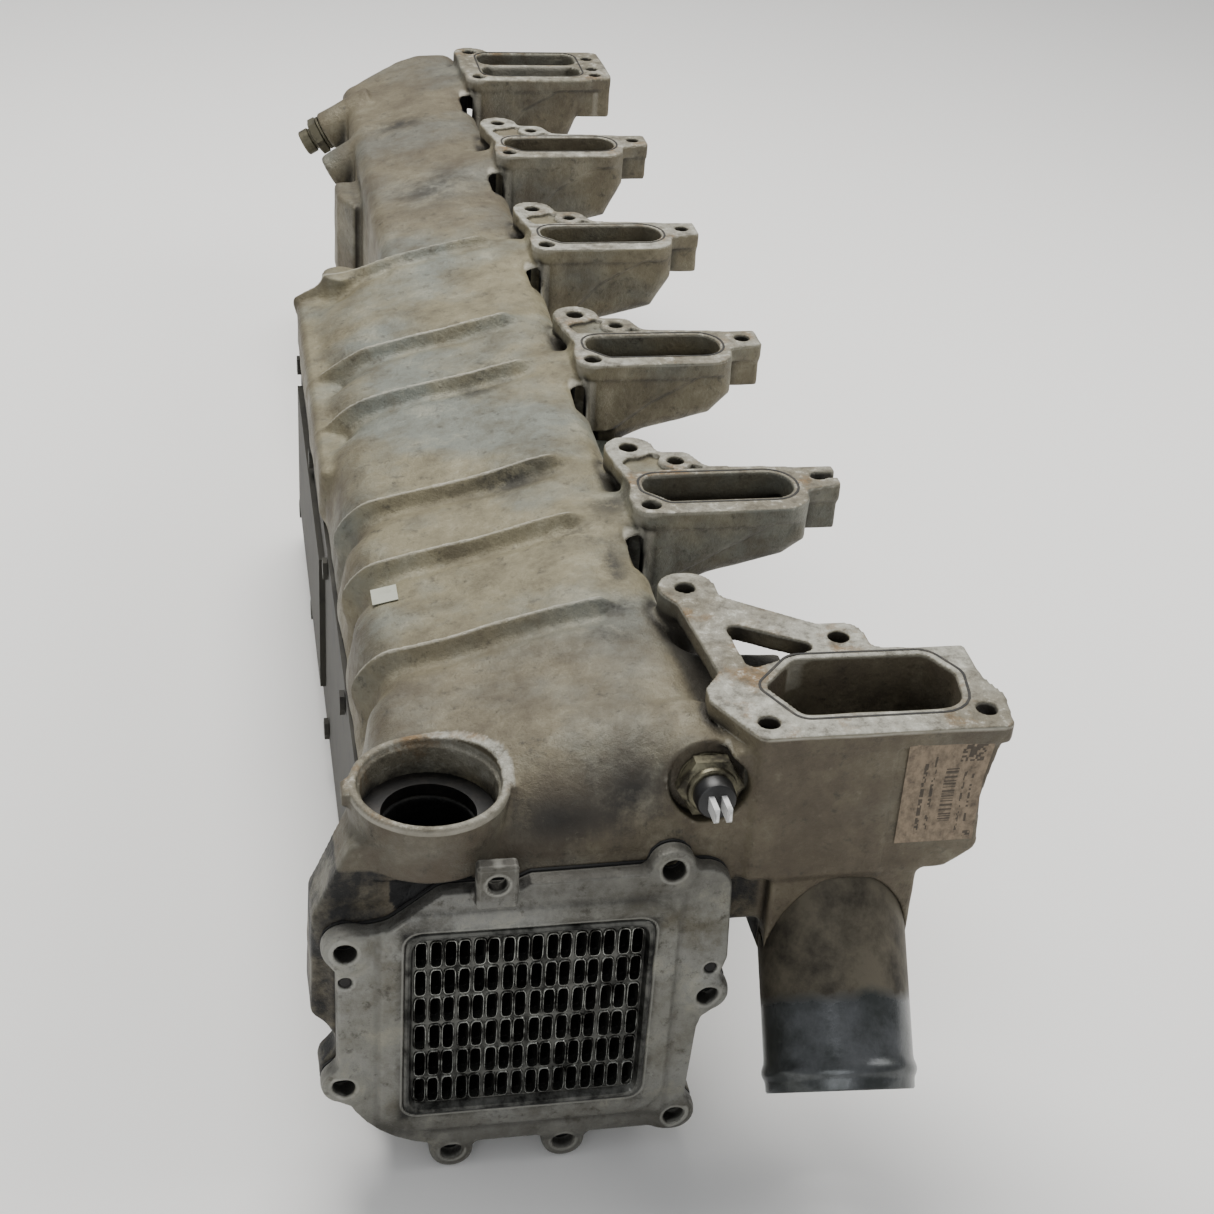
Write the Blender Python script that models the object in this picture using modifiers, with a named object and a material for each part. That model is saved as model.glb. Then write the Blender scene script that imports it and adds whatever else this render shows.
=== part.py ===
"""Six-port truck intake manifold with a gas cooler core in its housing, as separate solids.

Units are metres, +Z up. The six port faces lie in one plane, which is z = 0 while the pieces are
made; +Y runs along the row of ports and +X points at the ports' outer ends. At the end one empty
moves everything so that the origin is the middle of the bounding box's underside.
"""
import math

import bmesh
import bpy
from mathutils import Matrix, Vector

# ---------------------------------------------------------------- driving sizes
CYLINDER_PITCH = 0.160        # distance between neighbouring ports
PORT_COUNT = 6
GAP = 0.0003                  # clearance kept between touching pieces
WALL = 0.005                  # thickness of the casting's plain walls
BOLT_HOLE_RADIUS = 0.0046     # clearance holes for the flange screws

# plenum, wide part (it holds the cooler core) and narrow rear part
CREST_X = -0.016              # where the sloping top begins
CREST_Z = -0.012
TOP_SLOPE = 0.235             # fall of the top towards the left side
RIGHT_EDGE = 0.016
RIGHT_BULGE = 0.020
RIGHT_FOOT = 0.009
LEFT_WALL = -0.1235           # machined face for the side cover
HOUSING_BOTTOM = -0.197
FRONT_Y = -0.090              # machined front face
WIDE_END = 0.455
REAR_WALL_X = -0.076
REAR_BOTTOM = -0.130
REAR_END = 5 * CYLINDER_PITCH + 0.038
SHOULDER_START = -0.040       # the top starts to fall towards the front face here
SHOULDER_FALL = 0.044
RIDGE_HEIGHT = 0.0035
RIDGE_PLACES = (0.029, 0.105, 0.163, 0.273, 0.335)
GALLERY_FLOOR = -0.076

# runners and port flanges
FLANGE_THICKNESS = 0.010
COLUMN_STEP = 0.0001          # the bolt columns end this much below the machined port face
DUCT_NEAR = -0.066            # runner walls, measured from the port's reference line
DUCT_FAR = -0.027
DUCT_END = 0.096
DUCT_DEPTHS = (0.033, 0.037, 0.044, 0.048, 0.052)   # runners 2 to 6
PORT_BOX_BOTTOM = -0.072      # first port's larger box

# front end plate and its window
PLATE_THICKNESS = 0.008
GASKET_THICKNESS = 0.0012
WINDOW_CENTRE = (-0.06225, -0.130)
WINDOW_SIZE = (0.1015, 0.0975)
EAR_RADIUS = 0.0095
EAR_STEP = 0.0001             # the ears are this much thinner on each side
EAR_PLACES = ((-0.137, -0.088), (-0.1377, -0.1605), (-0.092, -0.203), (-0.0435, -0.2026),
              (0.0045, -0.1925), (0.0136, -0.1248), (-0.006, -0.0570))
DOWEL_PLACES = ((0.0138, -0.1103), (-0.137, -0.104))
DOWEL_RADIUS = 0.0024

# cooler core
COLUMN_COUNT = 16
ROW_COUNT = 6
COLUMN_PITCH = 0.0059
ROW_PITCH = 0.01475
ROW_HEIGHT = 0.0136
CHANNEL_SIZE = (COLUMN_PITCH - 0.0018, ROW_HEIGHT - 0.0010)
HEADER_THICKNESS = 0.003
CORE_LENGTH = 0.500
BAFFLE_PLACES = (0.060, 0.225)

# neck, pipe and small fittings
NECK_CENTRE = (-0.101, -0.066)
NECK_TOP = -0.030
NECK_RADIUS = 0.0325
NECK_COLLAR_HEIGHT = 0.0305
NECK_BORE_RADIUS = 0.0185
PIPE_END = Vector((0.067, -0.129, -0.157))
PIPE_RADIUS = 0.0315
PIPE_WALL = 0.003
PIPE_LENGTH = 0.103
PIPE_TILT = math.radians(45)
PIPE_LEAN = math.radians(2.7)
SENSOR_SEAT = Vector((0.0090, -0.079, -0.0265))
SENSOR_TILT = math.radians(5)
SENSOR_HEX = 0.0255
FITTING_SEAT = Vector((-0.0890, 0.762, -0.0500))
FITTING_TILT = math.radians(30)
FITTING_BOSS_RADIUS = 0.0135
COVER_THICKNESS = 0.0035
COVER_RECESS = 0.004          # depth of the seat sunk into the casting's left wall
COVER_BOLT_COUNT = 5          # along each long edge
COVER_Y = (-0.058, 0.446)
COVER_Z = (-0.193, -0.077)

# ---------------------------------------------------------------- scene set-up
for old in list(bpy.data.objects):
    bpy.data.objects.remove(old, do_unlink=True)

manifold = bpy.data.collections.new("intake_manifold")
tools = bpy.data.collections.new("cutters")
for folder in (manifold, tools):
    bpy.context.scene.collection.children.link(folder)

frame = bpy.data.objects.new("manifold_frame", None)
manifold.objects.link(frame)


def material(name, colour, roughness, metallic):
    """Return a Principled material."""
    made = bpy.data.materials.new(name)
    made.use_nodes = True
    shader = made.node_tree.nodes["Principled BSDF"]
    shader.inputs["Base Color"].default_value = (*colour, 1.0)
    shader.inputs["Roughness"].default_value = roughness
    shader.inputs["Metallic"].default_value = metallic
    return made


CAST_ALUMINIUM = material("cast_aluminium", (0.30, 0.28, 0.23), 0.62, 0.5)
MACHINED_PLATE = material("machined_aluminium", (0.36, 0.36, 0.34), 0.5, 0.6)
CORE_STEEL = material("core_steel", (0.20, 0.20, 0.19), 0.4, 0.9)
PIPE_METAL = material("pipe_metal", (0.16, 0.15, 0.13), 0.45, 0.6)
ZINC_STEEL = material("zinc_steel", (0.34, 0.31, 0.22), 0.45, 0.8)
SEAL_RUBBER = material("seal_rubber", (0.03, 0.03, 0.03), 0.75, 0.0)
BLACK_PLASTIC = material("black_plastic", (0.02, 0.02, 0.02), 0.4, 0.0)
TINNED_METAL = material("tinned_metal", (0.75, 0.75, 0.72), 0.25, 1.0)
GASKET_SHEET = material("gasket_sheet", (0.10, 0.10, 0.10), 0.7, 0.1)
LABEL_PAPER = material("label_paper", (0.52, 0.46, 0.36), 0.7, 0.0)
STICKER_PAPER = material("sticker_paper", (0.62, 0.62, 0.58), 0.6, 0.0)


# ---------------------------------------------------------------- building blocks
def add_object(name, mesh, folder, finish=None):
    """Link a mesh as an object under the manifold's frame."""
    made = bpy.data.objects.new(name, mesh)
    folder.objects.link(made)
    made.parent = frame
    if finish:
        mesh.materials.append(finish)
    if folder is not manifold:
        made.hide_render = True
        made.display_type = "WIRE"
    return made


def centre_origin(made):
    """Move the object's origin to the middle of its own mesh."""
    corners = [Vector(corner) for corner in made.bound_box]
    middle = sum(corners, Vector()) / len(corners)
    made.data.transform(Matrix.Translation(-middle))
    made.location = made.location + middle
    return made


def fillet(corners, steps=4):
    """Turn (u, v, radius) corners into an outline whose corners are arcs."""
    outline = []
    count = len(corners)
    for index, (u, v, radius) in enumerate(corners):
        here = Vector((u, v))
        before = (Vector(corners[index - 1][:2]) - here).normalized()
        after = (Vector(corners[(index + 1) % count][:2]) - here).normalized()
        if radius <= 0:
            outline.append((u, v))
            continue
        half = before.angle(after) / 2
        bisector = (before + after).normalized()
        middle = here + bisector * (radius / math.sin(half))
        start = here + before * (radius / math.tan(half)) - middle
        finish = here + after * (radius / math.tan(half)) - middle
        sweep = math.atan2(start.x * finish.y - start.y * finish.x, start.dot(finish))
        for step in range(steps + 1):
            angle = sweep * step / steps
            turned = Vector((start.x * math.cos(angle) - start.y * math.sin(angle),
                             start.x * math.sin(angle) + start.y * math.cos(angle)))
            outline.append(tuple(middle + turned))
    return outline


def circle(centre, radius, sides=16):
    """Outline of a regular polygon around a centre."""
    return [(centre[0] + radius * math.cos(math.tau * k / sides),
             centre[1] + radius * math.sin(math.tau * k / sides)) for k in range(sides)]


def rectangle(centre, size, radius=0.0, steps=3):
    """Outline of a rectangle with rounded corners."""
    half_u = size[0] / 2
    half_v = size[1] / 2
    signs = ((-1, -1), (1, -1), (1, 1), (-1, 1))
    return fillet([(centre[0] + a * half_u, centre[1] + b * half_v, radius) for a, b in signs], steps)


def face_outwards(work):
    """Make a closed mesh's faces agree and point outwards."""
    bmesh.ops.recalc_face_normals(work, faces=work.faces)
    if work.calc_volume(signed=True) < 0:
        bmesh.ops.reverse_faces(work, faces=work.faces)


AXIS_TURN = {
    "Z": Matrix.Identity(4),                                                  # outline is (x, y)
    "Y": Matrix(((1, 0, 0, 0), (0, 0, -1, 0), (0, 1, 0, 0), (0, 0, 0, 1))),   # outline is (x, z)
    "X": Matrix(((0, 0, 1, 0), (1, 0, 0, 0), (0, 1, 0, 0), (0, 0, 0, 1))),    # outline is (y, z)
}


def plate(name, outlines, axis, low, high, folder=manifold, finish=None):
    """Flat piece: the first outline is its edge, the others are holes through it."""
    drawing = bpy.data.curves.new(name, "CURVE")
    drawing.dimensions = "2D"
    drawing.fill_mode = "BOTH"
    drawing.extrude = (high - low) / 2
    for outline in outlines:
        spline = drawing.splines.new("POLY")
        spline.points.add(len(outline) - 1)
        for point, (u, v) in zip(spline.points, outline):
            point.co = (u, v, 0.0, 1.0)
        spline.use_cyclic_u = True
    guide = bpy.data.objects.new(name + "_outline", drawing)
    bpy.context.scene.collection.objects.link(guide)
    bpy.context.view_layer.update()
    evaluated = guide.evaluated_get(bpy.context.evaluated_depsgraph_get())
    mesh = bpy.data.meshes.new_from_object(evaluated)
    bpy.data.objects.remove(guide, do_unlink=True)
    mesh.materials.clear()
    work = bmesh.new()
    work.from_mesh(mesh)
    bmesh.ops.remove_doubles(work, verts=work.verts, dist=0.00001)
    middle = (high + low) / 2
    along = {"X": (middle, 0, 0), "Y": (0, middle, 0), "Z": (0, 0, middle)}[axis]
    work.transform(Matrix.Translation(along) @ AXIS_TURN[axis])
    face_outwards(work)
    work.to_mesh(mesh)
    work.free()
    made = add_object(name, mesh, folder, finish)
    return centre_origin(made) if folder is manifold else made


def rod(name, start, direction, radius, length, folder=manifold, finish=None, sides=20,
        end_radius=None):
    """Cylinder, cone or prism from a start point along a direction."""
    mesh = bpy.data.meshes.new(name)
    work = bmesh.new()
    bmesh.ops.create_cone(work, cap_ends=True, segments=sides, radius1=radius,
                          radius2=radius if end_radius is None else end_radius, depth=length)
    turn = Vector((0, 0, 1)).rotation_difference(Vector(direction)).to_matrix().to_4x4()
    work.transform(turn @ Matrix.Translation((0, 0, length / 2)))
    work.to_mesh(mesh)
    work.free()
    made = add_object(name, mesh, folder, finish)
    made.location = Vector(start)
    mesh.shade_smooth()
    mesh.set_sharp_from_angle(angle=math.radians(40))
    return made


def box(name, low, high, folder=manifold, finish=None):
    """Axis-aligned box between two corners."""
    mesh = bpy.data.meshes.new(name)
    work = bmesh.new()
    bmesh.ops.create_cube(work, size=1.0)
    size = Vector(high) - Vector(low)
    middle = (Vector(high) + Vector(low)) / 2
    work.transform(Matrix.Diagonal((*size, 1.0)))
    work.to_mesh(mesh)
    work.free()
    made = add_object(name, mesh, folder, finish)
    made.location = middle
    return made


def loft(name, rings, folder=manifold, finish=None):
    """Closed solid through rings of equal point counts."""
    work = bmesh.new()
    rows = [[work.verts.new(point) for point in ring] for ring in rings]
    count = len(rings[0])
    for row, after in zip(rows, rows[1:]):
        for k in range(count):
            work.faces.new((row[k], row[(k + 1) % count], after[(k + 1) % count], after[k]))
    work.faces.new(rows[0])
    work.faces.new(list(reversed(rows[-1])))
    face_outwards(work)
    mesh = bpy.data.meshes.new(name)
    work.to_mesh(mesh)
    work.free()
    return add_object(name, mesh, folder, finish)


def turned(name, profile, start, direction, folder=manifold, finish=None, steps=24):
    """Turned solid: (radius, height) profile around a direction from a start point."""
    mesh = bpy.data.meshes.new(name)
    work = bmesh.new()
    points = [work.verts.new((radius, 0.0, height)) for radius, height in profile]
    on_axis = profile[0][0] == 0.0 and profile[-1][0] == 0.0
    for k in range(len(points) - 1 if on_axis else len(points)):
        work.edges.new((points[k], points[(k + 1) % len(points)]))
    work.to_mesh(mesh)
    work.free()
    made = add_object(name, mesh, folder, finish)
    made.location = Vector(start)
    made.rotation_mode = "QUATERNION"
    made.rotation_quaternion = Vector((0, 0, 1)).rotation_difference(Vector(direction))
    screw = made.modifiers.new("turn", "SCREW")
    screw.axis = "Z"
    screw.steps = steps
    screw.render_steps = steps
    screw.use_merge_vertices = True
    screw.merge_threshold = 0.00001
    screw.use_smooth_shade = True
    return made


def combine(made, folder, operation):
    """Join every solid of a collection to an object, or cut them all from it."""
    step = made.modifiers.new(folder.name, "BOOLEAN")
    step.operand_type = "COLLECTION"
    step.collection = folder
    step.operation = operation
    step.solver = "EXACT"
    return step


def merge_flat_faces(made):
    """Join neighbouring faces that lie in one plane."""
    step = made.modifiers.new("flat_faces", "DECIMATE")
    step.decimate_type = "DISSOLVE"
    step.angle_limit = math.radians(1.0)
    return step


def tool_folder(name):
    """Collection for the solids that one Boolean step takes."""
    made = bpy.data.collections.new(name)
    tools.children.link(made)
    return made


def port_line(index):
    """Reference line of a port (0 is the first)."""
    return index * CYLINDER_PITCH


# ---------------------------------------------------------------- plenum of the casting
def front_fall(y):
    """How far the top has fallen towards the front face at y."""
    reach = min(max((SHOULDER_START - y) / (SHOULDER_START - FRONT_Y), 0.0), 1.0)
    return SHOULDER_FALL * (1.0 - math.sqrt(1.0 - min(reach, 0.999) ** 2))


def top_height(x, y):
    """Height of the sloping top, without its ridges."""
    return CREST_Z - TOP_SLOPE * (CREST_X - x) - front_fall(y)


def left_shoulder(y):
    """Left edge of the top, which draws in towards the rear."""
    rear = min(max((y - 0.080) / 0.370, 0.0), 1.0)
    return -0.123 + 0.021 * rear ** 1.6


def wide_ring(y, ridge=0.0, inset=0.0, floor=HOUSING_BOTTOM):
    """Cross-section of the wide part, shrunk by inset and cut off at a floor."""
    left = left_shoulder(y) + inset
    step = ridge * 0.8
    corners = [
        (RIGHT_EDGE - inset if floor > -0.1 else RIGHT_FOOT, floor, 0.004),
        (RIGHT_BULGE - inset, max(-0.100, floor + 0.006), 0.0),
        (RIGHT_EDGE - inset, CREST_Z - 0.030 - front_fall(y) * 0.6, 0.0),
        (RIGHT_EDGE - inset - 0.002, CREST_Z - inset - front_fall(y), 0.012),
        (CREST_X, top_height(CREST_X, y) - inset, 0.0),
        (CREST_X - 0.020, top_height(CREST_X - 0.020, y) - inset + ridge, 0.0),
        (left - step, top_height(left, y) - inset + ridge, 0.016),
        (LEFT_WALL + inset, -0.074, 0.0),
        (LEFT_WALL + inset, floor, 0.0),
    ]
    if floor > -0.1:
        corners[-2] = (LEFT_WALL + inset + 0.001, floor + 0.003, 0.0)
    return [(x, y, z) for x, z in fillet(corners, 2)]


def narrow_ring(y, inset=0.0, floor=REAR_BOTTOM, draw_in=0.0):
    """Cross-section of the narrow rear part."""
    left = REAR_WALL_X + inset + draw_in
    corners = [
        (RIGHT_EDGE - inset - 0.002, floor, 0.006),
        (RIGHT_EDGE - inset, CREST_Z - 0.040, 0.0),
        (RIGHT_EDGE - inset - 0.002, CREST_Z - inset - 0.002, 0.012),
        (CREST_X, top_height(CREST_X, 0.6) - inset - 0.002, 0.0),
        (left + 0.004, top_height(left, 0.6) - inset, 0.016),
        (left, -0.080, 0.0),
        (left, floor, 0.008),
    ]
    return [(x, y, z) for x, z in fillet(corners, 2)]


outer = tool_folder("outer_shapes")
cavities = tool_folder("cavities")
columns = tool_folder("bolt_columns")
holes = tool_folder("casting_holes")

stations = [(FRONT_Y, 0.0), (-0.087, 0.0), (-0.080, 0.0), (-0.068, 0.0), (SHOULDER_START, 0.0)]
for place in RIDGE_PLACES:
    stations += [(place - 0.007, 0.0), (place - 0.0015, RIDGE_HEIGHT), (place + 0.0015, RIDGE_HEIGHT),
                 (place + 0.007, 0.0)]
stations += [(WIDE_END - 0.012, 0.0), (WIDE_END - 0.006, RIDGE_HEIGHT), (WIDE_END, RIDGE_HEIGHT * 0.6)]
casting = loft("manifold_casting", [wide_ring(y, ridge) for y, ridge in stations],
               manifold, CAST_ALUMINIUM)

loft("rear_plenum", [narrow_ring(WIDE_END - 0.020), narrow_ring(REAR_END - 0.045),
                     narrow_ring(REAR_END - 0.012, draw_in=0.012),
                     narrow_ring(REAR_END, inset=0.004, draw_in=0.022)], outer)
loft("gallery", [wide_ring(SHOULDER_START + 0.004, 0.0, WALL, GALLERY_FLOOR),
                 wide_ring(0.200, 0.0, WALL, GALLERY_FLOOR),
                 wide_ring(WIDE_END - WALL - 0.004, 0.0, WALL, GALLERY_FLOOR)], cavities)
loft("rear_gallery", [narrow_ring(WIDE_END - 0.030, inset=WALL + 0.0004, floor=GALLERY_FLOOR - 0.0002),
                      narrow_ring(WIDE_END + WALL, inset=WALL + 0.0004, floor=GALLERY_FLOOR - 0.0002)],
     cavities)
loft("rear_chamber", [narrow_ring(WIDE_END + WALL - 0.001, inset=WALL, floor=REAR_BOTTOM + WALL),
                      narrow_ring(REAR_END - 0.047, inset=WALL, floor=REAR_BOTTOM + WALL),
                      narrow_ring(REAR_END - 0.018, inset=WALL, floor=REAR_BOTTOM + WALL,
                                  draw_in=0.016)], cavities)

# ---------------------------------------------------------------- core box and side opening
core_box_low = Vector((LEFT_WALL + 0.008, FRONT_Y - 0.004, HOUSING_BOTTOM + 0.010))
core_box_high = Vector((-0.009, WIDE_END - 2 * WALL, GALLERY_FLOOR - WALL))
box("core_box", core_box_low, core_box_high, cavities)
box("turning_passage", (REAR_WALL_X + 0.012, core_box_high.y - 0.010, REAR_BOTTOM + WALL + 0.0005),
    (RIGHT_FOOT - 0.014, WIDE_END + 2 * WALL, core_box_high.z - 0.001), cavities)
side_window_y = (COVER_Y[0] + 0.024, COVER_Y[1] - 0.030)
side_window_z = (COVER_Z[0] + 0.020, COVER_Z[1] - 0.018)
box("side_window", (LEFT_WALL - 0.004, side_window_y[0], side_window_z[0]),
    (core_box_low.x + 0.004, side_window_y[1], side_window_z[1]), cavities)

# ---------------------------------------------------------------- runners 2 to 6
PORT_A = (0.0200, -0.0027)
PORT_B = (0.0403, -0.0178)
PORT_C = (0.0201, -0.0606)
PORT_D = (0.1070, -0.0375)


def shifted(points, y):
    """Outline moved along Y."""
    return [(u, v + y) for u, v in points]


flange_corners = [(0.010, 0.004, 0.008), (0.030, 0.004, 0.008), (0.033, -0.008, 0.0), (0.048, -0.009, 0.006),
                  (0.054, -0.024, 0.0), (0.096, -0.028, 0.0), (0.116, -0.028, 0.0), (0.116, -0.047, 0.0),
                  (0.098, -0.050, 0.004), (0.091, -0.069, 0.010), (0.012, -0.070, 0.010),
                  (0.011, -0.052, 0.0), (0.015, -0.040, 0.0), (0.009, -0.012, 0.0)]
slot_centre = (0.056, -0.045)
slot_corners = [(0.0195, -0.032, 0.008), (0.0195, -0.047, 0.003), (0.0300, -0.058, 0.003),
                (0.0925, -0.058, 0.009), (0.0925, -0.032, 0.009)]
first_slot = (0.0245, -0.0590, 0.0960, -0.0370)
second_slot = (0.0245, -0.0330, 0.0960, -0.0070)


def slot_outline(x_low, y_low, x_high, y_high):
    """Rounded slot between two corners."""
    centre = ((x_low + x_high) / 2, (y_low + y_high) / 2)
    return rectangle(centre, (x_high - x_low, y_high - y_low), 0.009)


for number in range(1, PORT_COUNT):
    y = port_line(number)
    last = number == PORT_COUNT - 1
    depth = DUCT_DEPTHS[number - 1]
    tag = f"runner_{number + 1}"
    far = -0.003 if last else DUCT_FAR
    duct = [(0.004, -0.003, 0.0), (DUCT_END, -0.003, 0.0), (DUCT_END, -0.022, 0.0),
            (DUCT_END - 0.008, -depth + 0.004, 0.006), (0.050, -depth - 0.004, 0.0),
            (0.004, -depth - 0.018, 0.0)]
    plate(tag + "_duct", [fillet(duct, 2)], "Y", y + DUCT_NEAR, y + far, outer)
    inner = [(0.000, -0.012, 0.0), (DUCT_END - 0.006, -0.012, 0.0), (DUCT_END - 0.006, -0.020, 0.0),
             (DUCT_END - 0.014, -depth + 0.008, 0.006), (0.050, -depth, 0.0),
             (0.000, -depth - 0.012, 0.0)]
    plate(tag + "_passage", [fillet(inner, 2)], "Y", y + DUCT_NEAR + 0.004, y + far - 0.004, cavities)
    if last:
        end_flange = [(0.010, 0.004, 0.008), (0.030, 0.004, 0.008), (0.034, -0.002, 0.0),
                      (0.114, -0.002, 0.004), (0.118, -0.060, 0.004), (0.100, -0.069, 0.006),
                      (0.012, -0.070, 0.010), (0.009, -0.040, 0.0)]
        plate(tag + "_flange", [shifted(fillet(end_flange, 2), y)], "Z", -FLANGE_THICKNESS, 0.0, outer)
        for name, slot in (("near", first_slot), ("far", second_slot)):
            plate(f"{tag}_{name}_slot", [shifted(slot_outline(*slot), y)], "Z", -0.016, 0.004, cavities)
        box(tag + "_end_block", (0.094, y - 0.064, -0.030), (0.1165, y - 0.004, -0.001), outer)
    else:
        plate(tag + "_flange", [shifted(fillet(flange_corners, 2), y)], "Z", -FLANGE_THICKNESS, 0.0, outer)
        plate(tag + "_slot", [shifted(fillet(slot_corners, 3), y)], "Z", -0.016, 0.004, cavities)
        box(tag + "_end_block", (0.094, y - 0.0465, -0.025), (0.1155, y - 0.0285, -0.001), outer)
    rod(tag + "_column_a", (PORT_A[0], y + PORT_A[1], -COLUMN_STEP), (0, 0, -1), 0.0110, 0.044, columns,
        sides=12)
    rod(tag + "_column_c", (PORT_C[0], y + PORT_C[1], -COLUMN_STEP), (0, 0, -1), 0.0095, 0.046, columns,
        sides=12)
    bolt_places = [(PORT_A, 0.050), (PORT_C, 0.052)]
    if last:
        bolt_places += [((0.106, -0.018), 0.036), ((0.106, -0.042), 0.036), ((0.106, -0.056), 0.036)]
    else:
        bolt_places += [(PORT_B, 0.016), (PORT_D, 0.030)]
    for k, ((x, offset), reach) in enumerate(bolt_places):
        rod(f"{tag}_hole_{k}", (x, y + offset, 0.004), (0, 0, -1),
            BOLT_HOLE_RADIUS if k < 2 else BOLT_HOLE_RADIUS * 0.9, reach + 0.004, holes, sides=8)

# ---------------------------------------------------------------- first port: larger box and arm frame
PORT_BOX_FRONT = -0.091
arm_window = [(0.0310, -0.0035, 0.003), (0.0350, -0.0400, 0.003), (0.0670, -0.0250, 0.003)]
box_flange = [(0.008, 0.036, 0.010), (0.032, 0.036, 0.010), (0.034, 0.016, 0.006), (0.070, -0.009, 0.0),
              (0.088, -0.010, 0.008), (0.090, -0.029, 0.0), (0.117, -0.034, 0.004), (0.127, -0.049, 0.0),
              (0.1345, -0.069, 0.0), (0.1315, PORT_BOX_FRONT, 0.006), (0.0265, PORT_BOX_FRONT, 0.004),
              (0.0115, -0.063, 0.0), (0.012, -0.054, 0.0), (0.020, -0.043, 0.0), (0.014, 0.012, 0.0)]
port_opening = [(0.0365, -0.0548, 0.004), (0.0475, -0.0765, 0.004), (0.1150, -0.0765, 0.010),
                (0.1190, -0.0520, 0.006), (0.1104, -0.0364, 0.006), (0.0531, -0.0358, 0.006)]
plate("port_1_flange", [fillet(box_flange, 2), fillet(arm_window, 2)], "Z", -FLANGE_THICKNESS, 0.0, outer)
port_box = [(0.0275, -0.004, 0.0), (0.1305, -0.004, 0.0), (0.1275, -0.012, 0.0), (0.1225, -0.037, 0.0),
            (0.1250, -0.062, 0.004), (0.1130, PORT_BOX_BOTTOM, 0.004), (0.0275, PORT_BOX_BOTTOM, 0.004)]
plate("port_1_box", [fillet(port_box, 3)], "Y", PORT_BOX_FRONT, -0.031, outer)
plate("port_1_link", [[(0.004, -0.012), (0.040, -0.012), (0.040, -0.068), (0.004, -0.068)]], "Y",
      -0.074, -0.031, outer)
plate("port_1_passage", [fillet(port_opening, 3)], "Z", -0.064, 0.004, cavities)
box("port_1_cross_passage", (-0.002, -0.068, -0.058), (0.060, -0.0405, -0.020), cavities)
PORT_1_BOLTS = ((0.0200, 0.0243), (0.0773, -0.0204), (0.0320, -0.0800), (0.1237, -0.0782))
rod("port_1_column_a", (PORT_1_BOLTS[0][0], PORT_1_BOLTS[0][1], -COLUMN_STEP), (0, 0, -1), 0.0115, 0.040,
    columns, sides=12)
rod("port_1_column_b", (PORT_1_BOLTS[1][0], PORT_1_BOLTS[1][1], -COLUMN_STEP), (0, 0, -1), 0.0095, 0.016,
    columns, sides=12)
for k, (x, y) in enumerate(PORT_1_BOLTS):
    rod(f"port_1_hole_{k}", (x, y, 0.004), (0, 0, -1), BOLT_HOLE_RADIUS, 0.022 if k < 2 else 0.034,
        holes, sides=8)

# ---------------------------------------------------------------- pipe socket under the first port
pipe_axis = Vector((math.sin(PIPE_LEAN), math.cos(PIPE_LEAN) * math.cos(PIPE_TILT),
                    math.cos(PIPE_LEAN) * math.sin(PIPE_TILT)))
box("pipe_socket", (PIPE_END.x - PIPE_RADIUS - 0.005, -0.086, -0.110),
    (PIPE_END.x + PIPE_RADIUS + 0.005, -0.036, PORT_BOX_BOTTOM + 0.004), outer)
SOCKET_SIDES = 24
socket_radius = (PIPE_RADIUS + GAP) / math.cos(math.pi / SOCKET_SIDES)     # the flats clear the pipe too
rod("pipe_socket_bore", PIPE_END - pipe_axis * 0.010, pipe_axis, socket_radius,
    PIPE_LENGTH + 0.010 + GAP, cavities, sides=SOCKET_SIDES)
rod("pipe_passage", PIPE_END + pipe_axis * (PIPE_LENGTH - 0.001), pipe_axis, PIPE_RADIUS - PIPE_WALL - 0.001,
    0.022, cavities, sides=20)

# ---------------------------------------------------------------- front flange, neck and bosses
PLATE_DIP = NECK_TOP - NECK_COLLAR_HEIGHT - 2 * GAP      # the plate passes just under the neck's collar
PLATE_CORNERS = [(0.019, -0.057, 0.012), (0.021, -0.105, 0.0), (0.011, -0.143, 0.0),
                 (0.008, -0.199, 0.008), (-0.140, -0.199, 0.048), (-0.141, -0.082, 0.008),
                 (-0.120, -0.078, 0.012), (-0.099, PLATE_DIP, 0.010), (-0.068, PLATE_DIP, 0.0),
                 (-0.063, -0.0585, 0.0)]


def front_pieces(tag, low, high, folder, window=None, finish=None):
    """Plate with the front outline, plus the solids of its ears."""
    outlines = [fillet(PLATE_CORNERS, 5)]
    if window:
        outlines.append(window)
    made = plate(tag, outlines, "Y", low, high, folder, finish)
    ears = tool_folder(tag + "_ears") if folder is manifold else folder
    for k, (x, z) in enumerate(EAR_PLACES):
        rod(f"{tag}_ear_{k}", (x, low + EAR_STEP, z), (0, 1, 0), EAR_RADIUS, high - low - 2 * EAR_STEP, ears,
            sides=12)
    if folder is manifold:
        combine(made, ears, "UNION")
    return made


def front_holes(tag, low, high, folder):
    """Screw holes and dowel holes of the front pattern."""
    for k, (x, z) in enumerate(EAR_PLACES):
        rod(f"{tag}_hole_{k}", (x, low, z), (0, 1, 0), BOLT_HOLE_RADIUS, high - low, folder, sides=10)
    for k, (x, z) in enumerate(DOWEL_PLACES):
        rod(f"{tag}_dowel_hole_{k}", (x, low, z), (0, 1, 0), DOWEL_RADIUS + GAP, high - low, folder, sides=8)


front_pieces("front_flange", FRONT_Y, FRONT_Y + 0.014, outer)
front_holes("front", FRONT_Y - 0.004, FRONT_Y + 0.012, holes)
left_block = [(-0.112, -0.044, 0.004), (-0.134, -0.044, 0.006), (-0.150, -0.079, 0.006),
              (-0.151, -0.130, 0.006), (-0.142, -0.138, 0.0), (-0.112, -0.138, 0.0)]
plate("left_block", [fillet(left_block, 2)], "Y", FRONT_Y + 0.002, -0.062, outer)

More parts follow.
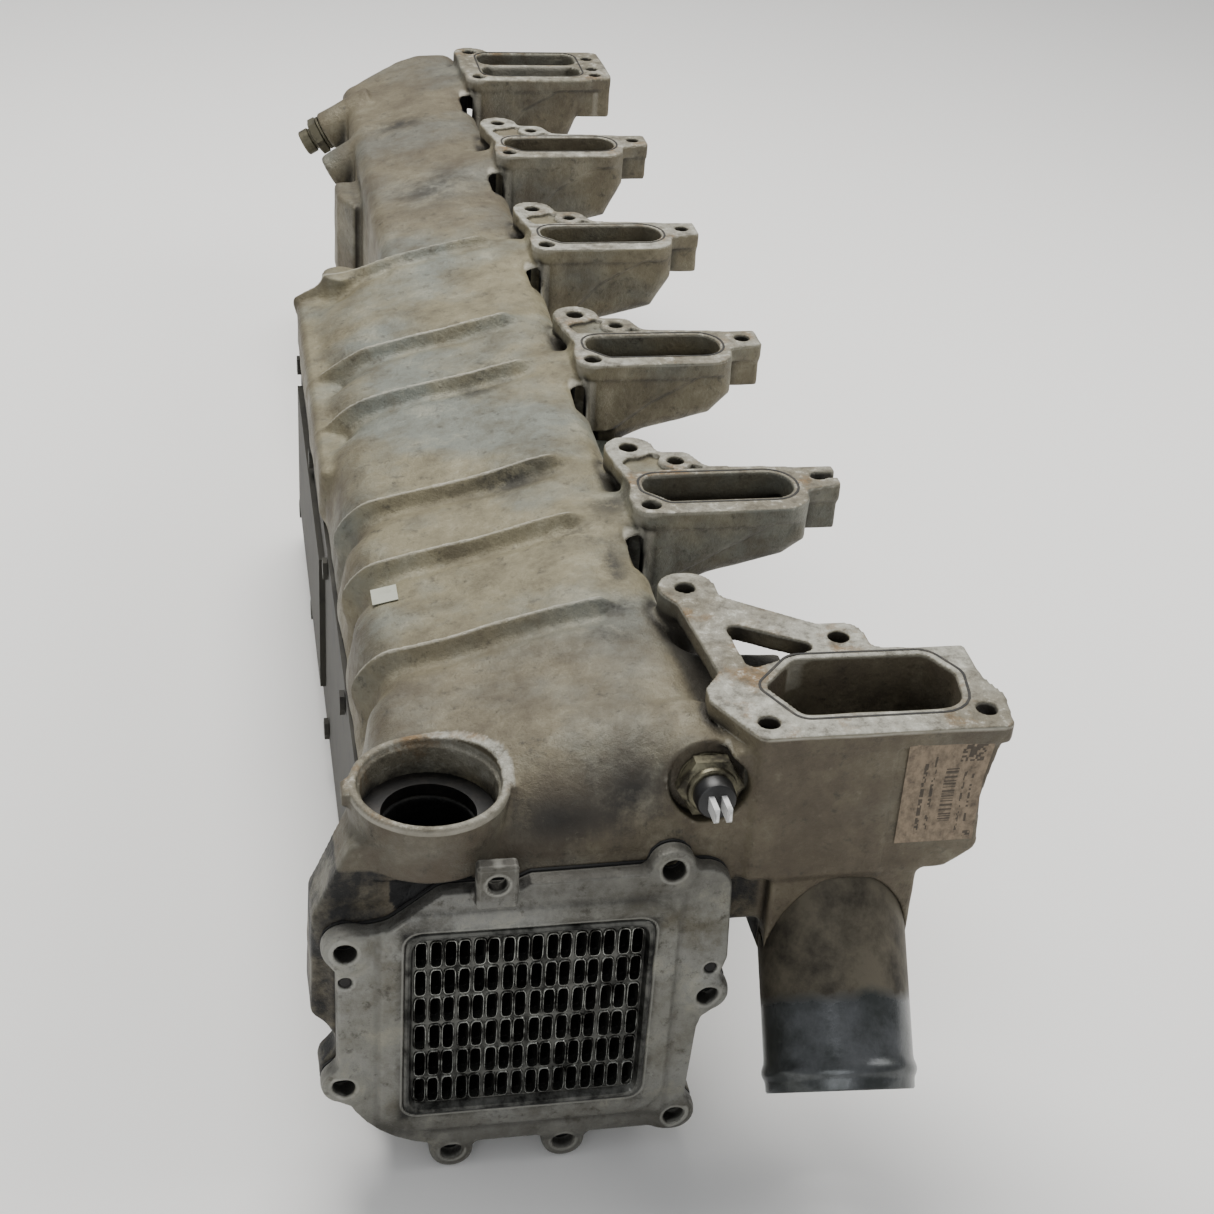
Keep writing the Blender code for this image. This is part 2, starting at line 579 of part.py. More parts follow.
neck_x, neck_y = NECK_CENTRE
rod("neck_collar", (neck_x, neck_y, NECK_TOP), (0, 0, -1), NECK_RADIUS, NECK_COLLAR_HEIGHT, outer, sides=28)
rod("neck_foot", (neck_x, neck_y, NECK_TOP - NECK_COLLAR_HEIGHT + 0.001), (0, 0, -1), NECK_RADIUS - 0.009,
    0.024, outer, sides=20)
box("neck_ears", (neck_x - NECK_RADIUS - 0.003, neck_y - 0.006, NECK_TOP - 0.007),
    (neck_x + NECK_RADIUS + 0.003, neck_y + 0.006, NECK_TOP - 0.001), outer)
rod("neck_bore", (neck_x, neck_y, NECK_TOP - 0.010), (0, 0, -1), NECK_BORE_RADIUS, 0.060, cavities, sides=20)
rod("neck_step", (neck_x, neck_y, NECK_TOP + 0.004), (0, 0, -1), NECK_RADIUS - 0.0045, 0.026, cavities,
    sides=28)

sensor_axis = Vector((0, -math.cos(SENSOR_TILT), math.sin(SENSOR_TILT)))
rod("sensor_boss", SENSOR_SEAT - sensor_axis * 0.030, sensor_axis, 0.0175, 0.030, outer, sides=20)
rod("sensor_spot_face", SENSOR_SEAT, sensor_axis, SENSOR_HEX / math.sqrt(3) + 4 * GAP, 0.030, holes, sides=20)
rod("sensor_hole", SENSOR_SEAT - sensor_axis * 0.016, sensor_axis, 0.0063, 0.022, holes, sides=16)

fitting_axis = Vector((-math.cos(FITTING_TILT), 0, -math.sin(FITTING_TILT)))
rod("fitting_boss", FITTING_SEAT, -fitting_axis, FITTING_BOSS_RADIUS, 0.030, outer, sides=20)
rod("fitting_hole", FITTING_SEAT + fitting_axis * 0.002, -fitting_axis, 0.0063, 0.016, holes, sides=16)
REAR_PAD_X = -0.0895
for name, low_y, high_y in (("rear_pad", 0.688, 0.718), ("middle_pad", 0.615, 0.650)):
    box(name, (REAR_PAD_X, low_y, -0.110), (REAR_WALL_X + 0.010, high_y, -0.048), outer)
rod("corner_boss", (-0.100, WIDE_END - 0.004, -0.030), (0, 0, -1), 0.0110, 0.046, outer, sides=16)
box("side_rail", (LEFT_WALL - 0.003, 0.225, COVER_Z[1] + 0.0010),
    (LEFT_WALL + 0.015, WIDE_END - 0.0200, -0.044), outer)

core_plug_seat = Vector((0.0245, 0.244, -0.048))
rod("core_plug_boss", core_plug_seat, (0, 0, -1), 0.0165, 0.014, outer, sides=24)
rod("core_plug_hole", core_plug_seat + Vector((0, 0, 0.002)), (0, 0, -1), 0.0130, 0.006, holes, sides=24)

# ---------------------------------------------------------------- side cover and its screws
cover_centre = ((COVER_Y[0] + COVER_Y[1]) / 2, (COVER_Z[0] + COVER_Z[1]) / 2)
cover_size = (COVER_Y[1] - COVER_Y[0], COVER_Z[1] - COVER_Z[0])
COVER_BOLT_INSET = 0.008
cover_outer = rectangle(cover_centre, cover_size, 0.010)
cover_seat = LEFT_WALL + COVER_RECESS
gasket_left = cover_seat - GAP - 0.0010
box("cover_recess", (LEFT_WALL - 0.004, COVER_Y[0] - GAP, COVER_Z[0] - GAP),
    (cover_seat, COVER_Y[1] + GAP, COVER_Z[1] + GAP), cavities)
cover_right = gasket_left - GAP
cover_left = cover_right - COVER_THICKNESS
SCREW_RADIUS = 0.0030

screw_places = []
for k in range(COVER_BOLT_COUNT):
    y = COVER_Y[0] + COVER_BOLT_INSET + k * (cover_size[0] - 2 * COVER_BOLT_INSET) / (COVER_BOLT_COUNT - 1)
    screw_places += [(y, COVER_Z[0] + COVER_BOLT_INSET), (y, COVER_Z[1] - COVER_BOLT_INSET)]
screw_holes = [circle(place, SCREW_RADIUS + 2 * GAP, 6) for place in screw_places]
side_window_centre = (sum(side_window_y) / 2, sum(side_window_z) / 2)
side_window = rectangle(side_window_centre,
                        (side_window_y[1] - side_window_y[0] + 0.002,
                         side_window_z[1] - side_window_z[0] + 0.002),
                        0.006)
plate("side_cover_gasket", [cover_outer, side_window] + screw_holes, "X", gasket_left, cover_seat - GAP,
      finish=GASKET_SHEET)
side_cover = plate("side_cover", [cover_outer] + screw_holes, "X", cover_left, cover_right,
                   finish=CAST_ALUMINIUM)
cover_pad = tool_folder("side_cover_pad")
box("cover_pad", (cover_left - 0.003, 0.220, COVER_Z[0] + 0.018),
    (cover_left + 0.001, 0.430, COVER_Z[1] - 0.018),
    cover_pad)
combine(side_cover, cover_pad, "UNION")
for k, (y, z) in enumerate(screw_places):
    rod(f"cover_screw_hole_{k}", (cover_seat - 0.004, y, z), (1, 0, 0), SCREW_RADIUS + GAP, 0.0105,
        holes, sides=8)
    screw = rod(f"side_cover_bolt_{k + 1:02d}", (cover_left - GAP, y, z), (-1, 0, 0), 0.0058, 0.0024,
                finish=ZINC_STEEL, sides=6)
    shank = tool_folder(f"bolt_shank_{k + 1:02d}")
    rod(f"shank_{k + 1:02d}", (cover_left - GAP - 0.002, y, z), (1, 0, 0), SCREW_RADIUS, 0.0125,
        shank, sides=8)
    combine(screw, shank, "UNION")

# ---------------------------------------------------------------- end plate, gasket and dowels
gasket_front = FRONT_Y - GAP - GASKET_THICKNESS
plate_back = gasket_front - GAP
plate_front = plate_back - PLATE_THICKNESS
gasket_window = rectangle(WINDOW_CENTRE, (WINDOW_SIZE[0] + 0.004, WINDOW_SIZE[1] + 0.003), 0.007)
end_gasket = front_pieces("end_plate_gasket", gasket_front, FRONT_Y - GAP, manifold, gasket_window,
                          GASKET_SHEET)
plate_window = rectangle(WINDOW_CENTRE, WINDOW_SIZE, 0.006)
end_plate = front_pieces("end_plate", plate_front, plate_back, manifold, plate_window, MACHINED_PLATE)
lug = tool_folder("end_plate_lug")
box("plate_lug", (-0.0860, plate_front - 0.004, -0.0670), (-0.0692, plate_front + 0.003, -0.0465), lug)
combine(end_plate, lug, "UNION")
plate_holes = tool_folder("end_plate_holes")
front_holes("plate", plate_front - 0.004, plate_back + 0.004, plate_holes)
rod("lug_hole", (-0.0767, plate_front - 0.006, -0.0550), (0, 1, 0), 0.0036, 0.012, plate_holes, sides=12)
combine(end_plate, plate_holes, "DIFFERENCE")
merge_flat_faces(end_plate)
gasket_holes = tool_folder("end_gasket_holes")
front_holes("gasket", gasket_front - 0.004, FRONT_Y + 0.004, gasket_holes)
combine(end_gasket, gasket_holes, "DIFFERENCE")
merge_flat_faces(end_gasket)
for k, (x, z) in enumerate(DOWEL_PLACES):
    rod(f"locating_dowel_{k + 1}", (x, plate_front + 0.0015, z), (0, 1, 0), DOWEL_RADIUS, 0.018,
        finish=ZINC_STEEL, sides=8)

# ---------------------------------------------------------------- cooler core
column_places = [WINDOW_CENTRE[0] + (k - (COLUMN_COUNT - 1) / 2) * COLUMN_PITCH for k in range(COLUMN_COUNT)]
row_places = [WINDOW_CENTRE[1] + (k - (ROW_COUNT - 1) / 2) * ROW_PITCH for k in range(ROW_COUNT)]
header_size = (WINDOW_SIZE[0] - 2 * GAP, WINDOW_SIZE[1] - 2 * GAP)
row_width = COLUMN_COUNT * COLUMN_PITCH - 0.001


def channel_outlines(row_z):
    """The oval channels of one row, as six-sided outlines."""
    half_width = CHANNEL_SIZE[0] / 2
    half_height = CHANNEL_SIZE[1] / 2
    side_height = half_height - half_width * 0.6
    return [[(x, row_z - half_height), (x + half_width, row_z - side_height),
             (x + half_width, row_z + side_height), (x, row_z + half_height),
             (x - half_width, row_z + side_height), (x - half_width, row_z - side_height)]
            for x in column_places]


header_front = plate_front + 0.0025
header_back = header_front + HEADER_THICKNESS
header_outlines = [rectangle(WINDOW_CENTRE, header_size, 0.006 - GAP)]
for z in row_places:
    header_outlines += channel_outlines(z)
plate("core_header_front", header_outlines, "Y", header_front, header_back, finish=CORE_STEEL)
row_start = header_back + GAP
row_end = row_start + CORE_LENGTH
for k, z in enumerate(reversed(row_places)):
    edge = rectangle((WINDOW_CENTRE[0], z), (row_width, ROW_HEIGHT), 0.0)
    plate(f"tube_row_{k + 1}", [edge] + channel_outlines(z), "Y", row_start, row_end, finish=CORE_STEEL)

row_windows = [rectangle((WINDOW_CENTRE[0], z), (row_width + 2 * GAP, ROW_HEIGHT + 2 * GAP), 0.0)
               for z in row_places]
core_box_centre = ((core_box_low.x + core_box_high.x) / 2, (core_box_low.z + core_box_high.z) / 2)
core_box_size = (core_box_high.x - core_box_low.x, core_box_high.z - core_box_low.z)
support_size = (core_box_size[0] - 0.0010, core_box_size[1] - 0.0010)
for k, y in enumerate(BAFFLE_PLACES):
    plate(f"core_baffle_{k + 1}", [rectangle(core_box_centre, support_size)] + row_windows, "Y",
          y, y + 0.002, finish=CORE_STEEL)
rear_header_size = (core_box_size[0] - 0.0050, core_box_size[1] - 0.0050)
plate("core_header_rear", [rectangle(core_box_centre, rear_header_size, 0.002)] + row_windows, "Y",
      row_end - 0.008, row_end - 0.004, finish=CORE_STEEL)
seal_outer = (core_box_size[0] - 2 * GAP, core_box_size[1] - 2 * GAP)
seal_inner = (rear_header_size[0] + 2 * GAP, rear_header_size[1] + 2 * GAP)
plate("core_seal_rear",
      [rectangle(core_box_centre, seal_outer), rectangle(core_box_centre, seal_inner, 0.002)],
      "Y", row_end - 0.0090, row_end - 0.0030, finish=SEAL_RUBBER)

# ---------------------------------------------------------------- port seals
SEAL_HEIGHT = 0.0008
SEAL_WIDTH = 0.0016


def grown(outline, centre, amount):
    """Outline pushed away from a centre by an amount."""
    result = []
    for u, v in outline:
        away = Vector((u - centre[0], v - centre[1]))
        scaled = away + Vector((math.copysign(amount, away.x), math.copysign(amount, away.y)))
        result.append((centre[0] + scaled.x, centre[1] + scaled.y))
    return result


seal_margin = 0.0012
seals = [(fillet(port_opening, 3), (0.080, -0.056), 0.0)]
for number in range(1, PORT_COUNT - 1):
    seals.append((fillet(slot_corners, 3), slot_centre, port_line(number)))
double_slot = slot_outline(first_slot[0], first_slot[1], second_slot[2], second_slot[3])
seals.append((double_slot, (0.060, -0.033), port_line(PORT_COUNT - 1)))
for number, (outline, centre, y) in enumerate(seals):
    inner_edge = shifted(grown(outline, centre, seal_margin), y)
    outer_edge = shifted(grown(outline, centre, seal_margin + SEAL_WIDTH), y)
    plate(f"port_seal_{number + 1}", [outer_edge, inner_edge], "Z", -GAP - SEAL_HEIGHT, -GAP,
          finish=SEAL_RUBBER)
    groove_inner = shifted(grown(outline, centre, seal_margin - GAP), y)
    groove_outer = shifted(grown(outline, centre, seal_margin + SEAL_WIDTH + GAP), y)
    plate(f"port_groove_{number + 1}", [groove_outer, groove_inner], "Z", -2 * GAP - SEAL_HEIGHT, 0.004,
          holes)

# ---------------------------------------------------------------- pipe with its hose bead
inner_radius = PIPE_RADIUS - PIPE_WALL
pipe_profile = [(inner_radius, PIPE_LENGTH), (PIPE_RADIUS, PIPE_LENGTH), (PIPE_RADIUS, 0.0100),
                (PIPE_RADIUS + 0.0010, 0.0080), (PIPE_RADIUS + 0.0010, 0.0060), (PIPE_RADIUS, 0.0045),
                (PIPE_RADIUS - 0.0005, 0.0), (inner_radius, 0.0)]
turned("charge_pipe", pipe_profile, PIPE_END, pipe_axis, finish=PIPE_METAL, steps=32)

# ---------------------------------------------------------------- neck ring
ring_seat = NECK_TOP + 0.004 - 0.026
ring_outer = NECK_RADIUS - 0.0045 - GAP
ring_inner = NECK_BORE_RADIUS + 0.001
turned("neck_seat_ring", [(ring_inner, ring_seat + 0.006), (ring_outer, ring_seat + 0.006),
                          (ring_outer, ring_seat + GAP), (ring_inner, ring_seat + GAP)],
       (neck_x, neck_y, 0.0), (0, 0, 1), finish=CORE_STEEL, steps=32)

# ---------------------------------------------------------------- temperature sensor
washer_top = 0.0018
turned("sensor_washer", [(0.0066, washer_top), (0.0120, washer_top), (0.0120, GAP), (0.0066, GAP)],
       SENSOR_SEAT, sensor_axis, finish=ZINC_STEEL, steps=20)
hex_start = washer_top + GAP
hex_height = 0.0080
sensor = rod("sensor_body", SENSOR_SEAT + sensor_axis * hex_start, sensor_axis, SENSOR_HEX / math.sqrt(3),
             hex_height, finish=ZINC_STEEL, sides=6)
sensor_shank = tool_folder("sensor_shank")
rod("shank", SENSOR_SEAT - sensor_axis * 0.0120, sensor_axis, 0.0060, 0.0120 + hex_start + 0.002,
    sensor_shank,
    sides=16)
combine(sensor, sensor_shank, "UNION")
plug_start = hex_start + hex_height + GAP
plug_profile = [(0.0, 0.0160), (0.0052, 0.0160), (0.0052, 0.0060), (0.0078, 0.0045), (0.0078, 0.0),
                (0.0, 0.0)]
turned("sensor_plug", [(r, h + plug_start) for r, h in plug_profile], SENSOR_SEAT, sensor_axis,
       finish=BLACK_PLASTIC, steps=20)
blade_start = plug_start + 0.0160 + GAP
across = Vector((1, 0, 0))
for k, side in enumerate((-1, 1)):
    blade = box(f"sensor_terminal_{k + 1}", (-0.0009, -0.0025, 0.0), (0.0009, 0.0025, 0.0060),
                finish=TINNED_METAL)
    blade.data.transform(Matrix.Translation((0, 0, 0.0030)))
    blade.location = SENSOR_SEAT + sensor_axis * blade_start + across * side * 0.0028
    blade.rotation_mode = "QUATERNION"
    blade.rotation_quaternion = Vector((0, 0, 1)).rotation_difference(sensor_axis)

# ---------------------------------------------------------------- rear fitting
turned("fitting_washer", [(0.0066, 0.0018), (0.0102, 0.0018), (0.0102, GAP), (0.0066, GAP)],
       FITTING_SEAT, fitting_axis,
       finish=ZINC_STEEL, steps=20)
fitting = rod("rear_fitting", FITTING_SEAT + fitting_axis * (0.0018 + GAP), fitting_axis, 0.0105, 0.0070,
              finish=ZINC_STEEL, sides=6)
fitting_ends = tool_folder("fitting_ends")
rod("fitting_stub", FITTING_SEAT + fitting_axis * 0.0080, fitting_axis, 0.0072, 0.0100, fitting_ends,
    sides=16)
rod("fitting_thread", FITTING_SEAT + fitting_axis * 0.0040, -fitting_axis, 0.0060, 0.0150, fitting_ends,
    sides=16)
combine(fitting, fitting_ends, "UNION")
fitting_bore = tool_folder("fitting_bore")
rod("fitting_hollow", FITTING_SEAT + fitting_axis * 0.0200, -fitting_axis, 0.0035, 0.0340, fitting_bore,
    sides=12)
combine(fitting, fitting_bore, "DIFFERENCE")

# ---------------------------------------------------------------- core plug, label and sticker
turned("core_plug", [(0.0, -0.0008), (0.0090, -0.0012), (0.0130 - GAP, 0.0006), (0.0130 - GAP, -0.0036),
                     (0.0, -0.0036)],
       core_plug_seat, (0, 0, 1), finish=ZINC_STEEL, steps=24)
plate("data_label", [rectangle((0.1065, -0.0320), (0.0370, 0.0500))], "Y", PORT_BOX_FRONT - GAP - 0.0003,
      PORT_BOX_FRONT - GAP, finish=LABEL_PAPER)
sticker_place = (-0.106, 0.0805)
sticker = box("inspection_sticker", (-0.006, -0.0065, 0.0), (0.006, 0.0065, 0.0003), finish=STICKER_PAPER)
sticker.rotation_euler = (0.0, -math.atan(TOP_SLOPE), 0.0)
sticker.location = (*sticker_place, top_height(*sticker_place) + 2 * GAP)

# ---------------------------------------------------------------- the casting, put together
combine(casting, outer, "UNION")
combine(casting, cavities, "DIFFERENCE")
combine(casting, columns, "UNION")
combine(casting, holes, "DIFFERENCE")
merge_flat_faces(casting)

# ---------------------------------------------------------------- origin: middle of the underside
bpy.context.view_layer.update()
depsgraph = bpy.context.evaluated_depsgraph_get()
reach = [piece.evaluated_get(depsgraph) for piece in manifold.objects if piece.type == "MESH"]
corners = [piece.matrix_world @ Vector(corner) for piece in reach for corner in piece.bound_box]
low = Vector(min(corner[axis] for corner in corners) for axis in range(3))
high = Vector(max(corner[axis] for corner in corners) for axis in range(3))
frame.location = (-(low.x + high.x) / 2, -(low.y + high.y) / 2, -low.z)
bpy.context.view_layer.update()
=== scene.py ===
import math

import bpy
import numpy as np
from mathutils import Matrix, Vector


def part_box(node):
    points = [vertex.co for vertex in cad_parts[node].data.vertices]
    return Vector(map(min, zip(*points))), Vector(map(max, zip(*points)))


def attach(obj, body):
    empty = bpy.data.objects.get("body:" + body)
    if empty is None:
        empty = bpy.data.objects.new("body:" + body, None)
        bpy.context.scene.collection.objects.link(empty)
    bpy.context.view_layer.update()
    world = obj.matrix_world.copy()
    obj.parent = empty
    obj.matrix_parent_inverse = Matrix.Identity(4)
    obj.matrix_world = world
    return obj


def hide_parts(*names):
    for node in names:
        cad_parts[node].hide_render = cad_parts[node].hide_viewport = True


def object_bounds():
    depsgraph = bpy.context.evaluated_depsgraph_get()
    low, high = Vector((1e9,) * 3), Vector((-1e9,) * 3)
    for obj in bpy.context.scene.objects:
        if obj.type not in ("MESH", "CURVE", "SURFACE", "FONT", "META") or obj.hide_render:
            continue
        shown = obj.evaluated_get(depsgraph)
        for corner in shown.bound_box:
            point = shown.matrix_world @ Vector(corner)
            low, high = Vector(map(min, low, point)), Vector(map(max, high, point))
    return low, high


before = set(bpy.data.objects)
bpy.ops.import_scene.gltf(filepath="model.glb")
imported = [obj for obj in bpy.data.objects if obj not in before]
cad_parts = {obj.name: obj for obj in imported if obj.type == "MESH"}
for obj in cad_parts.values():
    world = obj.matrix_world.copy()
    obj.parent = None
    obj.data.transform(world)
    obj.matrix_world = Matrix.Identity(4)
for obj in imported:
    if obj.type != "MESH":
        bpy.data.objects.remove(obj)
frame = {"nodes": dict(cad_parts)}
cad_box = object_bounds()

# ------------------------------------------------------------ camera, floor and lights
# A 62 mm lens a little above and to the left of the near end looks down the length of the part.
# Sizes below are in millimetres from the port plane, where the first port's line is y = 0.
MM = 0.001
seal_low, seal_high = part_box("port_seal_2")
ORIGIN = np.array([seal_low.x - 0.0167, (seal_low.y + seal_high.y) / 2 - 0.115, seal_high.z + 0.0003])
PITCH = 160.0


def place(point):
    """World place, in metres, of a point given in millimetres from the port plane."""
    return Vector((np.array(point, float) * MM + ORIGIN).tolist())


CAMERA_PLACE = (-180.8, -733.8, 466.6)
YAW = math.radians(12.40)
TILT = math.radians(31.49)
ROLL = math.radians(4.16)
forward = Vector((math.sin(YAW) * math.cos(TILT), math.cos(YAW) * math.cos(TILT), -math.sin(TILT)))
level = Vector((math.cos(YAW), -math.sin(YAW), 0.0))
upright = level.cross(forward)
right = level * math.cos(ROLL) + upright * math.sin(ROLL)
above = upright * math.cos(ROLL) - level * math.sin(ROLL)
camera_data = bpy.data.cameras.new("camera")
camera_data.lens = 61.9
camera_data.sensor_width = 36.0
camera_data.clip_end = 50.0
camera = bpy.data.objects.new("camera", camera_data)
bpy.context.scene.collection.objects.link(camera)
camera.matrix_world = Matrix.Translation(place(CAMERA_PLACE)) @ Matrix(
    (right, above, -forward)).transposed().to_4x4()
bpy.context.scene.camera = camera

floor_mesh = bpy.data.meshes.new("floor")
floor_mesh.from_pydata([(-6, -6, 0), (6, -6, 0), (6, 6, 0), (-6, 6, 0)], [], [(0, 1, 2, 3)])
floor = bpy.data.objects.new("floor", floor_mesh)
bpy.context.scene.collection.objects.link(floor)
floor.location.z = cad_box[0][2] - 0.0005


def linear(hex_colour):
    """sRGB hex colour as linear RGBA."""
    parts = np.array([int(hex_colour[k:k + 2], 16) / 255 for k in (1, 3, 5)])
    low = parts / 12.92
    high = ((parts + 0.055) / 1.055) ** 2.4
    return (*np.where(parts <= 0.04045, low, high).tolist(), 1.0)


def start_material(name, colour, roughness, metallic=0.0):
    """New Principled material and its node tree."""
    made = bpy.data.materials.new(name)
    made.use_nodes = True
    shader = made.node_tree.nodes["Principled BSDF"]
    shader.inputs["Base Color"].default_value = linear(colour)
    shader.inputs["Roughness"].default_value = roughness
    shader.inputs["Metallic"].default_value = metallic
    return made, made.node_tree, shader


def add_node(tree, kind, settings=None, inputs=None, links=None):
    """Add a node, set its properties and sockets, and link (socket, from node, from socket) triples."""
    node = tree.nodes.new(kind)
    for key, value in (settings or {}).items():
        setattr(node, key, value)
    for key, value in (inputs or {}).items():
        node.inputs[key].default_value = value
    for socket, source, output in links or ():
        tree.links.new(source.outputs[output], node.inputs[socket])
    return node


# matt pale studio floor: gives a soft bounce and no gloss
floor_paint = start_material("pale_floor", "#F4F3F1", 0.9)[0]
floor_mesh.materials.append(floor_paint)

world = bpy.data.worlds.new("studio")
world.use_nodes = True
world.node_tree.nodes["Background"].inputs["Color"].default_value = (0.95, 0.97, 1.0, 1.0)
world.node_tree.nodes["Background"].inputs["Strength"].default_value = 0.42
bpy.context.scene.world = world
for name, spot, size, power, tint in (
        ("key", (-150, 900, 1500), 1.3, 44.0, (1.0, 0.985, 0.95)),
        ("front_fill", (-500, -1500, 500), 1.2, 7.0, (0.96, 0.98, 1.0)),
        ("right_fill", (1100, 100, 900), 1.0, 9.0, (1.0, 0.99, 0.97))):
    lamp = bpy.data.lights.new(name, "AREA")
    lamp.shape = "DISK"
    lamp.size = size
    lamp.energy = power
    lamp.color = tint
    holder = bpy.data.objects.new(name, lamp)
    bpy.context.scene.collection.objects.link(holder)
    holder.location = place(spot)
    aim = place((-30, 250, -60)) - holder.location
    holder.rotation_mode = "QUATERNION"
    holder.rotation_quaternion = aim.to_track_quat("-Z", "Y")

# ------------------------------------------------------------ manifold casting
# One long sand casting in aluminium: the plenum with its cooler housing, six runners, neck and
# bosses, all blended by foundry radii and then machined at the port plane, rims and screw holes.
# A blend between so many shapes isn't one grid, so the casting is a distance field on a regular
# lattice, joined and cut as arrays, and its zero surface is meshed with one point per cell.
COARSE = 1.0
CREST_X, CREST_Z, SLOPE = -16.0, -12.0, 0.235
SIDE_X, BOTTOM_Z, FRONT_Y, WIDE_END, REAR_END = -123.5, -197.0, -90.0, 455.0, 836.2
RIBS = (29.0, 105.0, 163.0, 273.0, 335.0, 449.0)


class Field:
    """Distance field, in millimetres, on a lattice; negative inside."""

    def __init__(self, low, high, step):
        self.step = step
        self.axes = [np.arange(a - 2.2 * step, b + 2.2 * step, step, dtype=np.float32)
                     for a, b in zip(low, high)]
        self.value = np.full([len(axis) for axis in self.axes], 1e3, np.float32)

    def apply(self, kind, shape, low, high, radius):
        """Join a shape with a foundry fillet, or cut it away with a rounded edge, inside its box."""
        margin = radius + 3 * self.step
        cuts = tuple(slice(int(np.searchsorted(axis, a - margin)), int(np.searchsorted(axis, b + margin)))
                     for axis, a, b in zip(self.axes, low, high))
        here = self.value[cuts]
        if here.size == 0:
            return
        x, y, z = (axis[cut] for axis, cut in zip(self.axes, cuts))
        x, y, z = x[:, None, None], y[None, :, None], z[None, None, :]
        if kind == "join":
            self.value[cuts] = blend(here, shape(x, y, z), radius)
        elif kind == "cut":
            self.value[cuts] = -blend(-here, shape(x, y, z), radius)
        else:
            self.value[cuts] = here + shape(x, y, z)

    def sample(self, points):
        """Field at points, interpolated along the three axes."""
        total = np.zeros(len(points), np.float32)
        spots = [np.clip((points[:, k] - self.axes[k][0]) / self.step, 0, len(self.axes[k]) - 1.001)
                 for k in range(3)]
        base = [spot.astype(np.int32) for spot in spots]
        rest = [spot - start for spot, start in zip(spots, base)]
        for corner in range(8):
            bits = [(corner >> k) & 1 for k in range(3)]
            weight = np.ones(len(points), np.float32)
            for bit, share in zip(bits, rest):
                weight = weight * (share if bit else 1 - share)
            total += weight * self.value[tuple(start + bit for start, bit in zip(base, bits))]
        return total

    def slope(self, points):
        """Unit outward direction of the field at points."""
        reach = self.step * 0.6
        steps = [(self.sample(points + offset) - self.sample(points - offset))
                 for offset in np.eye(3, dtype=np.float32) * reach]
        made = np.stack(steps, 1)
        return made / np.maximum(np.linalg.norm(made, axis=1, keepdims=True), 1e-6)

    def surface(self):
        """Zero surface as points and quads: each mixed cell's point is the mean of its edge crossings."""
        inside = self.value < 0
        corners = [tuple(slice(bit, size - 1 + bit) for bit, size in zip(bits, self.value.shape))
                   for bits in ((0, 0, 0), (1, 0, 0), (0, 1, 0), (1, 1, 0),
                                (0, 0, 1), (1, 0, 1), (0, 1, 1), (1, 1, 1))]
        count = sum(inside[corner].astype(np.int8) for corner in corners)
        mixed = (count > 0) & (count < 8)
        cells = np.argwhere(mixed)
        number = np.full(mixed.shape, -1, np.int64)
        number[mixed] = np.arange(len(cells))
        values = [self.value[corner][mixed] for corner in corners]
        offsets = np.array([(k & 1, (k >> 1) & 1, (k >> 2) & 1) for k in range(8)], np.float32)
        total = np.zeros((len(cells), 3), np.float32)
        hits = np.zeros(len(cells), np.float32)
        for a in range(8):
            for bit in (1, 2, 4):
                if a & bit:
                    continue
                b = a | bit
                crossed = (values[a] < 0) != (values[b] < 0)
                gap = np.where(crossed, values[a] - values[b], 1.0)
                share = np.where(crossed, values[a] / gap, 0.0)[:, None]
                total += crossed[:, None] * (offsets[a] * (1 - share) + offsets[b] * share)
                hits += crossed
        points = cells + total / hits[:, None]
        points = points * self.step + np.array([axis[0] for axis in self.axes], np.float32)
        quads = []
        for axis in range(3):
            sides = [k for k in range(3) if k != axis]
            first = [slice(1, -1)] * 3
            second = [slice(1, -1)] * 3
            first[axis] = slice(0, -1)
            second[axis] = slice(1, None)
            a = inside[tuple(first)]
            b = inside[tuple(second)]
            for start, end, flip in ((a, b, axis == 1), (b, a, axis != 1)):
                place_at = np.argwhere(start & ~end)
                place_at[:, sides[0]] += 1
                place_at[:, sides[1]] += 1
                ring = []
                for du, dv in ((0, 0), (1, 0), (1, 1), (0, 1)):
                    cell = place_at.copy()
                    cell[:, sides[0]] -= du
                    cell[:, sides[1]] -= dv
                    ring.append(number[tuple(cell.T)])
                quad = np.stack(ring, 1)
                quads.append(quad[:, ::-1] if flip else quad)
        return points.astype(np.float32), np.concatenate(quads)


def blend(a, b, radius):
    """Union of two fields; where both lie within the radius, a circular fillet joins them."""
    if radius <= 0:
        return np.minimum(a, b)
    u = np.maximum(radius - a, 0)
    v = np.maximum(radius - b, 0)
    return np.maximum(radius, np.minimum(a, b)) - np.sqrt(u * u + v * v)


def both(a, b, radius):
    """Intersection of two fields with the outer edge rounded by a radius."""
    return -blend(-a, -b, radius)


def slab(coordinate, low, high):
    """Distance to the layer between two planes."""
    return np.abs(coordinate - (low + high) / 2) - (high - low) / 2


